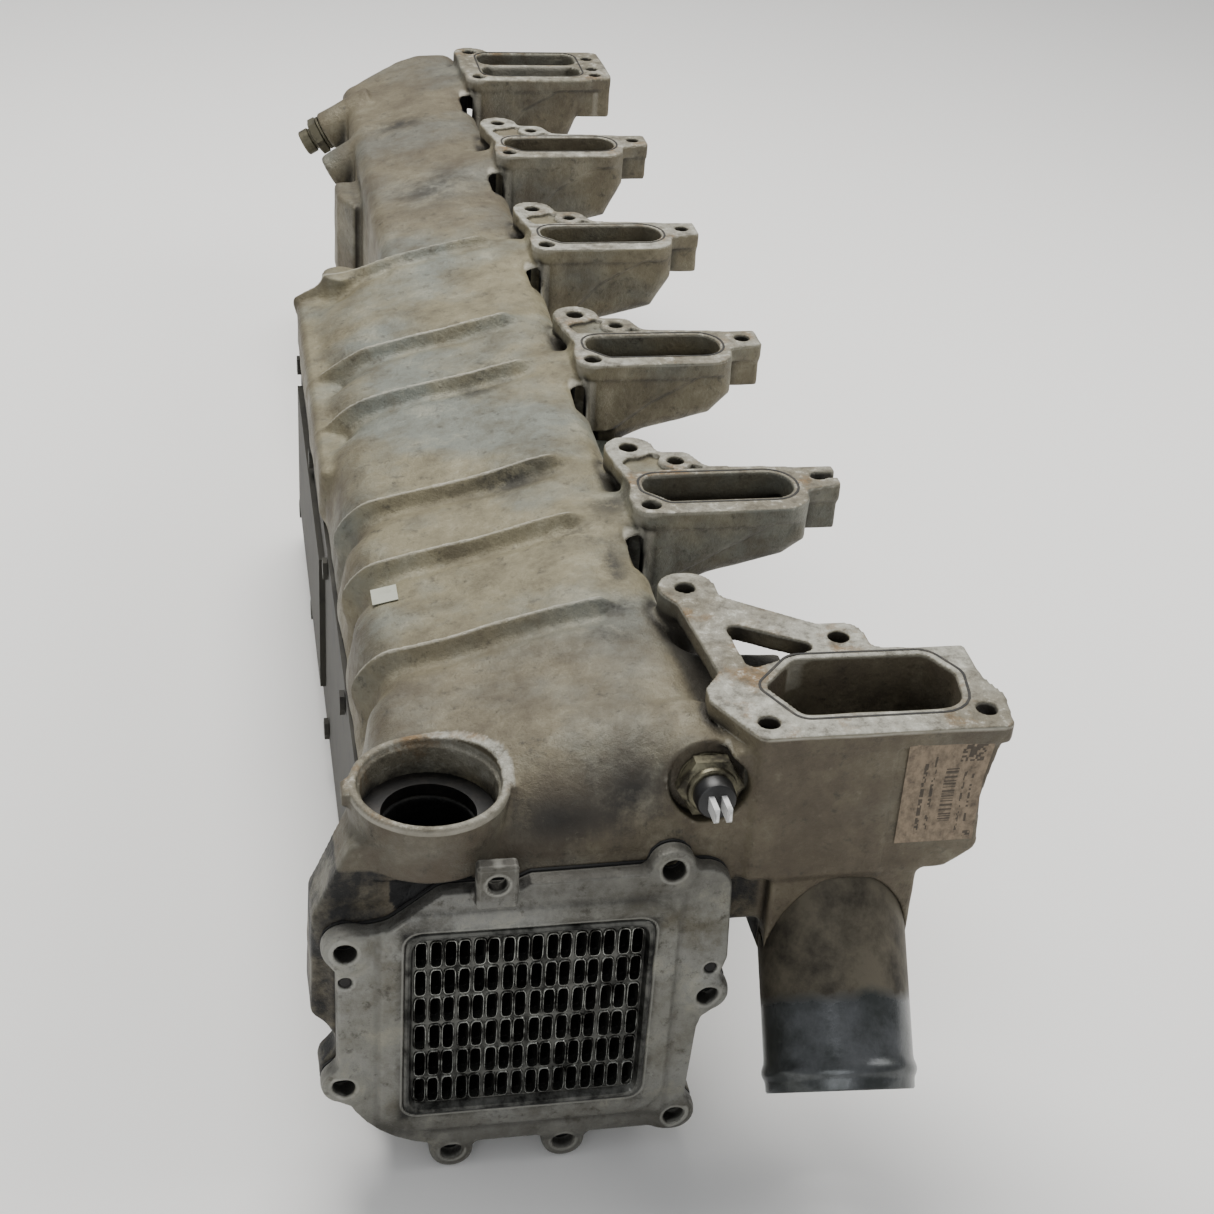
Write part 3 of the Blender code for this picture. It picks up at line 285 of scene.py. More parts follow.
def outline_distance(u, v, points):
    """Signed distance in a plane to a closed outline: nearest edge, with the sign from crossings."""
    shape = np.broadcast_shapes(u.shape, v.shape)
    nearest = np.full(shape, 1e9, np.float32)
    sign = np.ones(shape, np.float32)
    for (ax, ay), (bx, by) in zip(points, points[1:] + points[:1]):
        ex, ey = bx - ax, by - ay
        wu, wv = u - ax, v - ay
        share = np.clip((wu * ex + wv * ey) / (ex * ex + ey * ey), 0, 1)
        nearest = np.minimum(nearest, (wu - ex * share) ** 2 + (wv - ey * share) ** 2)
        low, high = v >= ay, v < by
        left_of = ex * wv > ey * wu
        flips = (low & high & left_of) | (~low & ~high & ~left_of)
        sign = np.where(flips, -sign, sign)
    return sign * np.sqrt(nearest)


def prism(points, axis, low, high, edge=0.0):
    """Field of an outline carried along the y or z axis, with rounded edges."""
    def shape(x, y, z):
        v, w = (y, z) if axis == "z" else (z, y)
        return both(outline_distance(x, v, points), slab(w, low, high), edge)
    return shape


def post(start, end, radius, edge=0.0):
    """Field of a round post between two points: distance from its line less the radius, and its two ends."""
    start = np.array(start, float)
    run = np.array(end, float) - start
    length = float(np.linalg.norm(run))
    way = run / length

    def shape(x, y, z):
        dx, dy, dz = x - start[0], y - start[1], z - start[2]
        along = dx * way[0] + dy * way[1] + dz * way[2]
        around = np.sqrt(np.maximum(dx * dx + dy * dy + dz * dz - along * along, 0))
        return both(around - radius, slab(along, 0, length), edge)
    return shape


def brick(low, high, edge=0.0):
    """Field of a box with rounded edges: the three layers' common part."""
    def shape(x, y, z):
        sides = both(slab(x, low[0], high[0]), slab(y, low[1], high[1]), edge)
        return both(sides, slab(z, low[2], high[2]), edge)
    return shape


def arcs(corners, steps=5):
    """Outline whose (u, v, radius) corners are turned to arcs."""
    made = []
    for k, (u, v, radius) in enumerate(corners):
        here = np.array((u, v), float)
        before = np.array(corners[k - 1][:2], float) - here
        after = np.array(corners[(k + 1) % len(corners)][:2], float) - here
        before /= np.linalg.norm(before)
        after /= np.linalg.norm(after)
        if radius <= 0:
            made.append((float(u), float(v)))
            continue
        half = math.acos(float(np.clip(before @ after, -1, 1))) / 2
        middle = here + (before + after) / np.linalg.norm(before + after) * radius / math.sin(half)
        start = here + before * radius / math.tan(half) - middle
        end = here + after * radius / math.tan(half) - middle
        sweep = math.atan2(start[0] * end[1] - start[1] * end[0], float(start @ end))
        for angle in np.linspace(0, sweep, steps + 1):
            turn = np.array(((math.cos(angle), -math.sin(angle)), (math.sin(angle), math.cos(angle))))
            made.append(tuple((middle + turn @ start).tolist()))
    return made


class Recipe:
    """Ordered joins, cuts and swells that make one casting."""

    def __init__(self):
        self.steps = []

    def join(self, shape, low, high, radius=0.0):
        self.steps.append(("join", shape, low, high, radius))

    def cut(self, shape, low, high, radius=0.0):
        self.steps.append(("cut", shape, low, high, radius))

    def swell(self, shape, low, high):
        self.steps.append(("swell", shape, low, high, 0.0))

    def field(self, low, high, step):
        """The casting's field in one region."""
        made = Field(low, high, step)
        for item in self.steps:
            made.apply(*item)
        return made


def moved(points, dy):
    """Outline moved along y."""
    return [(u, v + dy) for u, v in points]


def plane(value, low, high):
    """Smooth step from 0 to 1 between two values."""
    t = np.clip((value - low) / (high - low), 0, 1)
    return t * t * (3 - 2 * t)


casting = Recipe()
EVERYWHERE = (-1e4, -1e4, -1e4), (1e4, 1e4, 1e4)


def shoulder(y):
    """How far the housing has drawn in along y, from 0 to 1, and the left edge of its top there."""
    rear = np.clip((y - 80) / 370, 0, 1)
    return rear, -119 + 17 * rear ** 1.5


def wide_body(x, y, z):
    """Cooler housing: sloping top, drawn-in left shoulder, flaring right wall, round front."""
    lean = math.hypot(1, SLOPE)
    top = np.maximum((z - CREST_Z + SLOPE * (CREST_X - x)) / lean, z - CREST_Z)
    front = FRONT_Y - y
    crown = both(top, front, 44.0)
    rear, left = shoulder(y)
    foot = -74 + 26 * rear
    top_left = CREST_Z - SLOPE * (CREST_X - left)
    run, rise = left - SIDE_X, top_left - foot
    length = np.sqrt(run * run + rise * rise)
    side = np.maximum(((z - top_left) * run - (x - left) * rise) / length, SIDE_X - x)
    wall = np.maximum((x - 16) * 0.998 + (z + 42) * 0.069, (x - 20) * 0.993 - (z + 100) * 0.115)
    body = both(both(crown, side, 11.0), wall, 13.0)
    ends = np.maximum(front, y - WIDE_END)
    body = both(body, ends, 5.0)
    return both(body, BOTTOM_Z - z, 5.0)


def rear_body(x, y, z):
    """Narrow rear plenum with a bevelled far corner."""
    lean = math.hypot(1, SLOPE)
    top = np.maximum((z - CREST_Z + 2 + SLOPE * (CREST_X - x)) / lean, z - CREST_Z + 2)
    side = np.maximum(-74 - x + 0 * z, (-x - 74 + (y - 800)) * 0.707 + 3)
    wall = (x - 15.5) + 0 * z
    body = both(both(top, side, 9.0), wall, 13.0)
    body = both(body, np.maximum(y - REAR_END, 430 - y), 9.0)
    return both(body, -130 - z, 8.0)


casting.join(wide_body, *EVERYWHERE)
casting.join(rear_body, (-100, 430, -135), (25, 842, 0), 9.0)


def rib_bend(x):
    """How far a rib's line wanders from straight across: a slow wave and a slight skew."""
    return 2.5 * np.sin((x + 60) / 26.0) - 0.02 * (x + 60)


def rib(place_y):
    """Swelling of one rib across the top, with the scoop under its left end."""
    def shape(x, y, z):
        left = shoulder(place_y)[1]
        distance = y - (place_y + rib_bend(x))
        across = plane(-x, 6, 18) * plane(z, -66, -48)
        made = -5.4 * across * np.exp(-(np.abs(distance) / 3.0) ** 2.2)
        made = made + 2.2 * across * np.exp(-((distance + 8) / 5.0) ** 2)
        scoop = np.exp(-((distance + 14) / 8.5) ** 2) * np.exp(-((x - left - 1) / 11.0) ** 2)
        made = made + 6.5 * scoop * plane(z, -80, -56)
        beyond = np.exp(-((distance - 12) / 7.0) ** 2) * np.exp(-((x - left + 1) / 9.0) ** 2)
        return made + 2.5 * beyond * plane(z, -80, -56)
    return shape


def dents(x, y, z):
    """Shallow unevenness of the moulded skin."""
    long_wave = np.sin(x / 17.0 + y / 31.0) * np.sin(y / 23.0 - x / 41.0)
    return (0.8 * long_wave + 0.35 * np.sin(y / 9.0 + x / 13.0)) * plane(-z, 4, 12) + 0 * z


for place_y in RIBS:
    casting.swell(rib(place_y), (-135, place_y - 34, -85), (5, place_y + 30, 0))
casting.swell(dents, (-150, -80, -200), (14, 840, -8))
casting.join(brick((-126.5, 225, -76), (-108, 448, -46), 5.0), (-128, 223, -78), (-106, 450, -44), 4.0)

# front flange with its ears as (x, z), the block at its left and the round neck
neck_x, neck_y, neck_top, collar = -101.0, -66.0, -30.0, 30.5
dip = neck_top - collar - 0.6
PLATE = arcs([(19, -57, 12), (21, -105, 0), (11, -143, 0), (8, -199, 8), (-140, -199, 48), (-141, -82, 8),
              (-120, -78, 12), (-99, dip, 10), (-68, dip, 0), (-63, -58.5, 0)], 9)
EARS = ((-137, -88), (-137.7, -160.5), (-92, -203), (-43.5, -202.6), (4.5, -192.5), (13.6, -124.8), (-6, -57))
DOWELS = ((13.8, -110.3), (-137, -104))
EAR_RADIUS, SCREW_RADIUS = 9.5, 4.6
casting.join(prism(PLATE, "y", FRONT_Y, FRONT_Y + 14, 1.0), (-142, -92, -201), (23, -74, -56), 4.0)
for ex, ez in EARS:
    casting.join(post((ex, FRONT_Y, ez), (ex, FRONT_Y + 14, ez), EAR_RADIUS, 1.0), (ex - 10, -92, ez - 10),
                 (ex + 10, -74, ez + 10), 4.0)
LEFT_BLOCK = arcs([(-112, -44, 4), (-134, -44, 6), (-149.5, -79, 6), (-150.5, -130, 6), (-142, -138, 0),
                   (-112, -138, 0)])
casting.join(prism(LEFT_BLOCK, "y", FRONT_Y + 2, -62, 2.0), (-152, -92, -140), (-108, -60, -42), 5.0)
casting.join(post((neck_x, neck_y, neck_top - collar - 24), (neck_x, neck_y, neck_top - collar + 6), 23.5,
                  1.0),
             (-128, -92, -90), (-74, -40, -50), 3.0)
casting.join(post((neck_x, neck_y, neck_top - collar), (neck_x, neck_y, neck_top), 32.5, 1.2),
             (-136, -101, -64), (-66, -32, -28), 2.5)
casting.join(brick((neck_x - 35.3, neck_y - 6, neck_top - 7), (neck_x + 35.3, neck_y + 6, neck_top - 1), 1.0),
             (-138, -74, -40), (-64, -58, -28), 2.0)

# sensor boss
SENSOR = np.array((9.0, -79.0, -26.5))
sensor_way = np.array((0, -math.cos(math.radians(5)), math.sin(math.radians(5))))
casting.join(post(SENSOR - sensor_way * 30, SENSOR, 17.5, 1.2), (-12, -92, -48), (30, -44, -4), 9.0)

# runners 2 to 6, each a box-shaped duct under a machined flange
# outlines are (x, y from the port's line, corner radius); depths are how far each duct's end hangs down
DEPTHS = (33.0, 37.0, 44.0, 48.0, 52.0)
FLANGE = arcs([(10, 4, 8), (30, 4, 8), (33, -8, 3), (48, -9, 6), (54, -24, 5), (96, -28, 5), (99, -30.5, 2),
               (115.5, -28.5, 2), (115.5, -46.5, 2), (98, -51, 4), (91, -69, 11), (12, -70, 10), (11, -52, 3),
               (14, -40, 5), (9, -12, 4)])
END_FLANGE = arcs([(10, 4, 8), (30, 4, 8), (34, -2, 3), (114, -2, 4), (117.5, -60, 4), (100, -69, 6),
                   (12, -70, 10), (9, -40, 5)])
SLOT = arcs([(19.5, -32, 9), (19.5, -47, 4), (30, -58, 4), (92.5, -58, 12), (92.5, -32, 12)], 6)
LAST_SLOTS = (arcs([(24.5, -59, 9), (96, -59, 9), (96, -37, 9), (24.5, -37, 9)]),
              arcs([(24.5, -33, 9), (96, -33, 9), (96, -7, 9), (24.5, -7, 9)]))
for number, depth in enumerate(DEPTHS, 1):
    line = PITCH * number
    last = number == 5
    far = -3.0 if last else -27.0
    duct = [(-6, -14), (10, -8), (24, 9), (97, 9), (97, -22), (86, -depth + 3), (50, -depth - 6),
            (24, -depth - 18), (-6, -depth - 26)]
    casting.join(prism(duct, "y", line - 66, line + far, 9.0), (-8, line - 67, -depth - 28),
                 (98, line + far + 1, 0), 8.0)
    ledge = [(16, -6), (80, -6), (74, -12), (52, -24), (30, -depth - 4), (16, -depth - 10)]
    casting.join(prism(ledge, "y", line - 68.5, line - 56, 2.0), (14, line - 70, -depth - 12),
                 (82, line - 56, 0), 2.0)
    flange = moved(END_FLANGE if last else FLANGE, line)
    casting.join(prism(flange, "z", -9, 1.0, 0.8), (6, line - 73, -10), (119, line + 6, 1), 2.5)
    block = ((94, line - 64, -30),
             (116.5, line - 4, 1)) if last else ((95, line - 46.5, -25), (115.5, line - 28.5, 1))
    casting.join(brick(*block, 1.2), *block, 3.0)
    casting.join(post((20, line - 2.7, -46), (20, line - 2.7, 1), 10.8, 1.0), (8, line - 15, -48),
                 (32, line + 9, 1), 5.0)
    casting.join(post((24, line - 61, -58), (24, line - 61, -6), 8.0, 1.0), (14, line - 71, -60),
                 (33, line - 50, 1), 2.5)
    if not last:
        web = moved([(24, -6), (38, -14), (54, -26), (18, -28), (14, -18)], line)
        casting.cut(prism(web, "z", -3.0, 4, 1.0), (12, line - 30, -4), (56, line - 4, 4), 1.0)
        casting.join(post((20, line - 2.7, -8), (20, line - 2.7, 1), 10.8, 0.8), (8, line - 15, -9),
                     (32, line + 9, 1), 1.5)
        casting.join(post((40.3, line - 17.8, -14), (40.3, line - 17.8, 1), 8.2, 0.8), (31, line - 27, -15),
                     (50, line - 9, 1), 1.5)

# first port: larger box with an arm frame towards the plenum and the pipe socket underneath
BOX_FRONT, BOX_BOTTOM = -91.0, -72.0
BOX = arcs([(27.5, 6, 0), (130.5, 6, 0), (127, -12, 3), (122.5, -37, 3), (125, -62, 6), (112, BOX_BOTTOM, 5),
            (27.5, BOX_BOTTOM, 2)])
casting.join(prism(BOX, "y", BOX_FRONT, -31, 2.0), (26, -92, -74), (132, -30, 0), 6.0)
casting.cut(brick((84, BOX_FRONT - 4, -80), (140, BOX_FRONT + 0.9, -3), 0.0), (83, -96, -82),
            (141, -90, -2), 0.6)
LINK = [(4, -18), (58, -20), (60, -68), (4, -68)]
casting.join(prism(LINK, "y", -72, 2, 6.0), (2, -78, -70), (62, 4, -16), 9.0)
casting.join(prism([(2, -24), (20, -9), (40, -9), (40, -72), (2, -72)], "y", -88.5, -60, 3.0),
             (0, -90, -74), (42, -58, -7), 5.0)
casting.join(brick((12, -82, -101), (42, -62, -66), 4.0), (10, -84, -103), (44, -60, -64), 4.0)
BOX_FLANGE = arcs([(8, 36, 10), (32, 36, 10), (34, 16, 6), (70, -9, 4), (88, -10, 8), (90, -29, 4),
                   (117, -34, 4),
                   (127, -49, 3), (134.3, -69, 3), (131.3, BOX_FRONT, 3), (26.5, BOX_FRONT, 3),
                   (11.5, -63, 2),
                   (12, -54, 2), (20, -43, 4), (14, 12, 4)])
casting.join(prism(BOX_FLANGE, "z", -9, 1, 0.8), (6, -93, -10), (135.5, 38, 1), 2.0)
for px, py, radius in ((20, 24.3, 11.5), (77.3, -20.4, 9.0)):
    casting.join(post((px, py, -42), (px, py, 1), radius, 1.0), (px - 12, py - 12, -44),
                 (px + 12, py + 12, 1), 4.0)
ARM_WINDOW = arcs([(30, -4, 4), (33, -42, 4), (69, -27, 4)])
casting.cut(prism(ARM_WINDOW, "z", -15, 4, 1.0), (28, -44, -16), (71, -2, 4), 1.0)
PIPE_END = np.array((67.0, -129.0, -157.0))
pipe_way = np.array((0.04711, 0.70632, 0.70632))
casting.join(brick((38.2, BOX_FRONT + 0.6, -118), (100.9, -36, BOX_BOTTOM + 4), 2.0), (36, -93, -120),
             (103, -34, -66), 3.0)

# fitting boss, round pad, wedge and corner boss on the left of the rear part, and the core plug's boss
FITTING = np.array((-89.0, 762.0, -50.0))
fitting_way = np.array((-math.cos(math.radians(30)), 0, -math.sin(math.radians(30))))
casting.join(post(FITTING, FITTING - fitting_way * 42, 14.0, 1.5), (-100, 745, -66), (-50, 780, -18), 3.0)
casting.join(post((-89.0, 694, -58), (-56, 694, -36), 14.0, 2.5), (-98, 678, -76), (-54, 710, -22), 3.0)
casting.join(prism([(-90, 655), (-66, 658), (-66, 612), (-80, 606), (-90, 628)], "z", -110, -48, 4.0),
             (-91, 604, -111), (-64, 660, -46), 4.0)
casting.join(post((-100, 451, -76), (-100, 451, -30), 11.0, 2.0), (-112, 438, -78), (-88, 464, -28), 6.0)
casting.join(post((24.5, 244, -62), (24.5, 244, -48), 16.5, 1.0), (6, 226, -64), (42, 262, -46), 5.0)

# everything above the port plane and ahead of the front flange's seat is machined off
casting.cut(brick((-200, -200, -0.25), (200, 900, 60)), (-200, -200, -1), (200, 900, 60), 0.5)
casting.cut(brick((-200, -130, -210), (22.5, FRONT_Y, -57), 0.0), (-160, -130, -212),
            (23, FRONT_Y + 1, -57), 0.4)


def screw_hole(hx, hy, reach, radius=SCREW_RADIUS):
    """Cut one screw hole down from the port plane to a depth."""
    casting.cut(post((hx, hy, -reach), (hx, hy, 4), radius), (hx - 6, hy - 6, -reach), (hx + 6, hy + 6, 4),
                0.7)


# ports, bores and screw holes
for number, depth in enumerate(DEPTHS, 1):
    line = PITCH * number
    last = number == 5
    far = -7.0 if last else -31.0
    inside = arcs([(14, -12, 0), (90, -12, 0), (90, -20, 2), (82, -depth + 8, 8), (50, -depth, 8),
                   (14, -depth - 8, 0)])
    casting.cut(prism(inside, "y", line - 61, line + far, 5.0), (12, line - 62, -depth - 10),
                (92, line + far + 1, -10), 2.0)
    casting.cut(brick((5.5, line - 95, -70), (15.5, line - 50, -14), 2.5), (4, line - 96, -72),
                (17, line - 49, -12), 2.0)
    for slot in (LAST_SLOTS if last else (SLOT,)):
        casting.cut(prism(moved(slot, line), "z", -17, 6), (16, line - 62, -18), (98, line - 4, 6), 0.6)
    if number == 1:
        casting.cut(brick((107, line - 40, -26), (120, line - 34, 6)), (106, line - 41, -27),
                    (121, line - 33, 6), 0.5)
    holes = [((20, -2.7), SCREW_RADIUS, 50), ((20.1, -60.6), SCREW_RADIUS, 52)]
    holes += ([((106, -18), 4.1, 36), ((106, -42), 4.1, 36), ((106, -56), 4.1, 36)] if last else
              [((40.3, -17.8), 4.1, 16), ((107, -37.5), 4.1, 30)])
    for (hx, hy), radius, reach in holes:
        screw_hole(hx, line + hy, reach, radius)
OPENING = arcs([(36.5, -54.8, 5), (47.5, -76.5, 5), (115, -76.5, 12), (119, -52, 8), (110.4, -36.4, 7),
                (53.1, -35.8, 7)])
casting.cut(prism(OPENING, "z", -64, 6, 3.0), (34, -79, -66), (122, -34, 6), 0.6)
casting.cut(brick((16, -66, -58), (60, -42, -24), 5.0), (14, -68, -60), (62, -40, -22), 2.0)
for hx, hy, reach in ((20, 24.3, 22), (77.3, -20.4, 22), (32, -80, 34), (123.7, -78.2, 34)):
    screw_hole(hx, hy, reach)
casting.cut(post(PIPE_END, PIPE_END + pipe_way * 103.5, 31.2), (34, -92, -150), (104, -38, -60), 0.0)
casting.cut(post(PIPE_END + pipe_way * 102, PIPE_END + pipe_way * 124, 27.5), (38, -80, -110),
            (96, -20, -46), 1.0)
casting.cut(post((neck_x, neck_y, neck_top - 3), (neck_x, neck_y, neck_top + 6), 28.8), (-134, -98, -36),
            (-68, -34, -20), 0.6)
casting.cut(post((neck_x, neck_y, neck_top - 22), (neck_x, neck_y, neck_top + 6), 27.6), (-134, -98, -54),
            (-68, -34, -20), 0.6)
casting.cut(post((neck_x, neck_y, -100), (neck_x, neck_y, neck_top), 18.5), (-122, -86, -102),
            (-80, -46, -50), 1.0)
casting.cut(post(SENSOR, SENSOR + sensor_way * 30, 15.9), (-10, -112, -44), (28, -76, -8), 0.6)
casting.cut(post(SENSOR - sensor_way * 16, SENSOR + sensor_way * 4, 6.3), (0, -84, -40), (18, -60, -16), 0.3)
casting.cut(post(FITTING + fitting_way * 2, FITTING - fitting_way * 16, 6.3), (-98, 752, -62),
            (-70, 772, -36), 0.3)
casting.cut(post((24.5, 244, -52), (24.5, 244, -40), 13.0), (10, 230, -54), (39, 258, -38), 0.5)
casting.cut(brick((-116, -96, -187), (-9, 20, -81), 4.0), (-118, -98, -189), (-7, 22, -79), 0.5)
casting.cut(brick((-130, -58.5, -193.5), (-119.5, 446.5, -76.5)), (-131, -59, -194), (-119, 447, -76), 0.4)


def front_hole(recipe, hx, hz, low, high, radius, edge):
    """Cut one round hole along y through the front flange or the end plate."""
    side = math.ceil(radius + 1)
    recipe.cut(post((hx, low, hz), (hx, high, hz), radius), (hx - side, low - 1, hz - side),
               (hx + side, high + 1, hz + side), edge)


for ex, ez in EARS:
    front_hole(casting, ex, ez, -95, -78, SCREW_RADIUS, 0.5)


def value_noise(points, size, seed):
    """Smooth noise in -1..1: random values on a lattice of a size, eased between its corners."""
    table = np.random.default_rng(seed).uniform(-1, 1, (64, 64, 64)).astype(np.float32)
    spot = points / size
    base = np.floor(spot).astype(np.int64)
    rest = (spot - base).astype(np.float32)
    rest = rest * rest * (3 - 2 * rest)
    total = np.zeros(len(points), np.float32)
    for corner in range(8):
        bits = np.array([(corner >> k) & 1 for k in range(3)])
        weight = np.prod(np.where(bits, rest, 1 - rest), axis=1)
        spots = (base + bits) % 64
        total += weight * table[spots[:, 0], spots[:, 1], spots[:, 2]]
    return total


def mesh_region(recipe, name, low, high, step, machined, roughen, stains_and_shade, material):
    """Mesh one region of a recipe, with shading directions and the wear and painted shade attributes at its
    points.
    """
    SURROUND = 22.0          # field kept past the region, so that hollows are felt across its border
    field = recipe.field([a - SURROUND for a in low], [b + SURROUND for b in high], step * COARSE)
    points, quads = field.surface()
    middle = points[quads].mean(1)
    lap = 0.6 * field.step
    keep = np.all((middle > np.array(low) - lap) & (middle < np.array(high) + lap), 1)
    used, faces = np.unique(quads[keep], return_inverse=True)
    faces = faces.reshape(-1, 4)
    points = points[used]
    for _ in range(2):       # settle the points on the zero surface
        points = points - field.slope(points) * field.sample(points)[:, None] * 0.7
    normals = field.slope(points)
    bare = machined(points, normals).astype(np.float32)
    # hollow shade: how much casting stands in front of a point at three reaches, used as painted shade in
    # hollows; crest: how thin it is behind
    hollow_shade = np.zeros(len(points), np.float32)
    for reach, share in ((3.0, 0.3), (8.0, 0.35), (18.0, 0.35)):
        hollow_shade += share * np.clip(1 - field.sample(points + normals * reach) / reach, 0, 1)
    crest = np.clip(1 + field.sample(points - normals * 3.0) / 3.0, 0, 1)
    dark_patches_and_shade, film_and_shade, wear = stains_and_shade(points, normals)
    # wear above 1 lifts the crest mark: a painted highlight along the rib crests
    crest = np.clip(crest * np.minimum(wear, 1) + 0.16 * np.maximum(wear - 1, 0), 0, 1)
    # cast skin is uneven, and past the region's border the surface dips under its neighbour's
    lumps = value_noise(points, 22.0, 3) * 0.35 + value_noise(points, 7.0, 4) * 0.16
    beyond = np.maximum(np.array(low) - points, points - np.array(high)).max(1)
    sink = np.clip(beyond, 0, 1) * 0.15
    points = points + normals * (lumps * roughen * (1 - bare) - sink)[:, None]
    mesh = bpy.data.meshes.new(name)
    mesh.vertices.add(len(points))
    mesh.vertices.foreach_set("co", (points * MM + ORIGIN).astype(np.float32).ravel())
    mesh.loops.add(faces.size)
    mesh.loops.foreach_set("vertex_index", faces.astype(np.int32).ravel())
    mesh.polygons.add(len(faces))
    mesh.polygons.foreach_set("loop_start", np.arange(0, faces.size, 4, dtype=np.int32))
    for label, values in (("bare", bare), ("hollow_shade", hollow_shade), ("crest", crest), ("dark_patches_and_shade", dark_patches_and_shade), ("film_and_shade", film_and_shade)):
        mesh.attributes.new(label, "FLOAT", "POINT").data.foreach_set("value", values.astype(np.float32))
    mesh.update(calc_edges=True)
    mesh.shade_smooth()
    mesh.normals_split_custom_set_from_vertices(normals.tolist())
    piece = bpy.data.objects.new(name, mesh)
    bpy.context.scene.collection.objects.link(piece)
    mesh.materials.append(material)
    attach(piece, "root")
    return piece


# weathered sand casting: dull grey aluminium under khaki dust, brown on the front with a film and painted
# shade, black in dark patches and as painted shade deep in the ports, painted shade in its hollows, paler on
# worn edges with a painted highlight on the rib crests, and paler on machined faces
def weathered_casting(name, dust, metal, film_and_shade_colour, dark, pale, bare_colour, rust_colour):
    """Material of sand-cast aluminium with dust, a film, dark patches, worn edges, painted shade and a
    painted highlight.
    """
    made, tree, shader = start_material(name, dust, 0.62, 0.0)
    spots = add_node(tree, "ShaderNodeTexCoord")
    marks = {label: add_node(tree, "ShaderNodeAttribute", {"attribute_name": label})
             for label in ("hollow_shade", "crest", "bare", "dark_patches_and_shade", "film_and_shade")}
    noises = {label: add_node(tree, "ShaderNodeTexNoise", None,
                              {"Scale": scale, "Detail": detail, "Roughness": rough},
                              [("Vector", spots, "Object")])
              for label, scale, detail, rough in (("broad", 10.0, 6.0, 0.6), ("blotch", 34.0, 8.0, 0.72),
                                                  ("speck", 150.0, 6.0, 0.75), ("grain", 520.0, 3.0, 0.6))}

    def masked(*masks):
        """Product of masks as (node, output); a mask is a node, or a node with its From and To ranges."""
        product = None
        for source, *reach in masks:
            value = (source, "Fac")
            if reach:
                sockets = dict(zip(("From Min", "From Max", "To Max", "To Min"), reach))
                value = (add_node(tree, "ShaderNodeMapRange", None, sockets, [("Value", *value)]), "Result")
            if product:
                value = (add_node(tree, "ShaderNodeMath", {"operation": "MULTIPLY", "use_clamp": True}, None,
                                  [(0, *product), (1, *value)]), "Value")
            product = value
        return product

    def layer(below, tint, *masks):
        """Colour below, a hex colour or a node, covered by a hex colour where the masks are high."""
        sockets, links = {"B": linear(tint)}, [("Factor", *masked(*masks))]
        if isinstance(below, str):
            sockets["A"] = linear(below)
        else:
            links.append(("A", below, "Result"))
        return add_node(tree, "ShaderNodeMix", {"data_type": "RGBA"}, sockets, links)

    broad, blotch, speck = noises["broad"], noises["blotch"], noises["speck"]
    colour = dust
    for tint, *masks in ((metal, (broad, 0.46, 0.60)),
                         ("#524B3A", (blotch, 0.48, 0.66, 0.75)),
                         ("#9E9A86", (blotch, 0.46, 0.34, 0.4)),
                         # browner film, and painted shade on front and side faces
                         (film_and_shade_colour, (marks["film_and_shade"],), (blotch, 0.30, 0.62, 1.0, 0.55)),
                         # painted shade: the dark colour where casting stands in front of a point
                         (dark, (marks["hollow_shade"], 0.20, 0.58, 0.85)),
                         # near-black blotches in the dark patches and the painted shade
                         ("#1D1C1A", (marks["dark_patches_and_shade"],), (blotch, 0.40, 0.56)),
                         ("#37332A", (speck, 0.56, 0.70, 0.8)),
                         ("#A9A590", (speck, 0.40, 0.28, 0.15)),
                         # paler on worn edges, and a painted highlight on the rib crests
                         (pale, (marks["crest"], 0.34, 0.60, 0.75), (blotch, 0.35, 0.55, 1.0, 0.35))):
        colour = layer(colour, tint, *masks)
    bare = bare_colour
    for tint, *masks in (("#6B6452", (broad, 0.44, 0.56, 0.85)), (rust_colour, (blotch, 0.53, 0.64, 0.75)),
                         ("#453F33", (speck, 0.50, 0.64, 0.7)), ("#C9C7BC", (speck, 0.46, 0.36, 0.5))):
        bare = layer(bare, tint, *masks)
    full = add_node(tree, "ShaderNodeMix", {"data_type": "RGBA"}, None,
                    [("Factor", marks["bare"], "Fac"), ("A", colour, "Result"), ("B", bare, "Result")])
    # painted shade: near black where the shade mark is strongest, deep in the ports, the neck's throat and
    # the pockets between ducts
    deep = layer(full, "#060606", (marks["dark_patches_and_shade"], 1.05, 1.9))
    tree.links.new(deep.outputs["Result"], shader.inputs["Base Color"])
    shine, output = masked((blotch, 0.3, 0.7, 0.70, 0.45))
    tree.links.new(shine.outputs[output], shader.inputs["Roughness"])
    shader.inputs["Metallic"].default_value = 0.25
    fine = add_node(tree, "ShaderNodeBump", None, {"Strength": 0.35, "Distance": 0.0007},
                    [("Height", noises["grain"], "Fac")])
    medium = add_node(tree, "ShaderNodeBump", None, {"Strength": 0.6, "Distance": 0.0014},
                      [("Height", speck, "Fac"), ("Normal", fine, "Normal")])
    coarse = add_node(tree, "ShaderNodeBump", None, {"Strength": 0.5, "Distance": 0.004},
                      [("Height", blotch, "Fac"), ("Normal", medium, "Normal")])
    tree.links.new(coarse.outputs["Normal"], shader.inputs["Normal"])
    return made


casting_metal = weathered_casting("sand_cast_aluminium", "#7A735B", "#6F7269", "#50473A", "#231F19",
                                  "#B4B0A2",
                                  "#98968B", "#75582F")


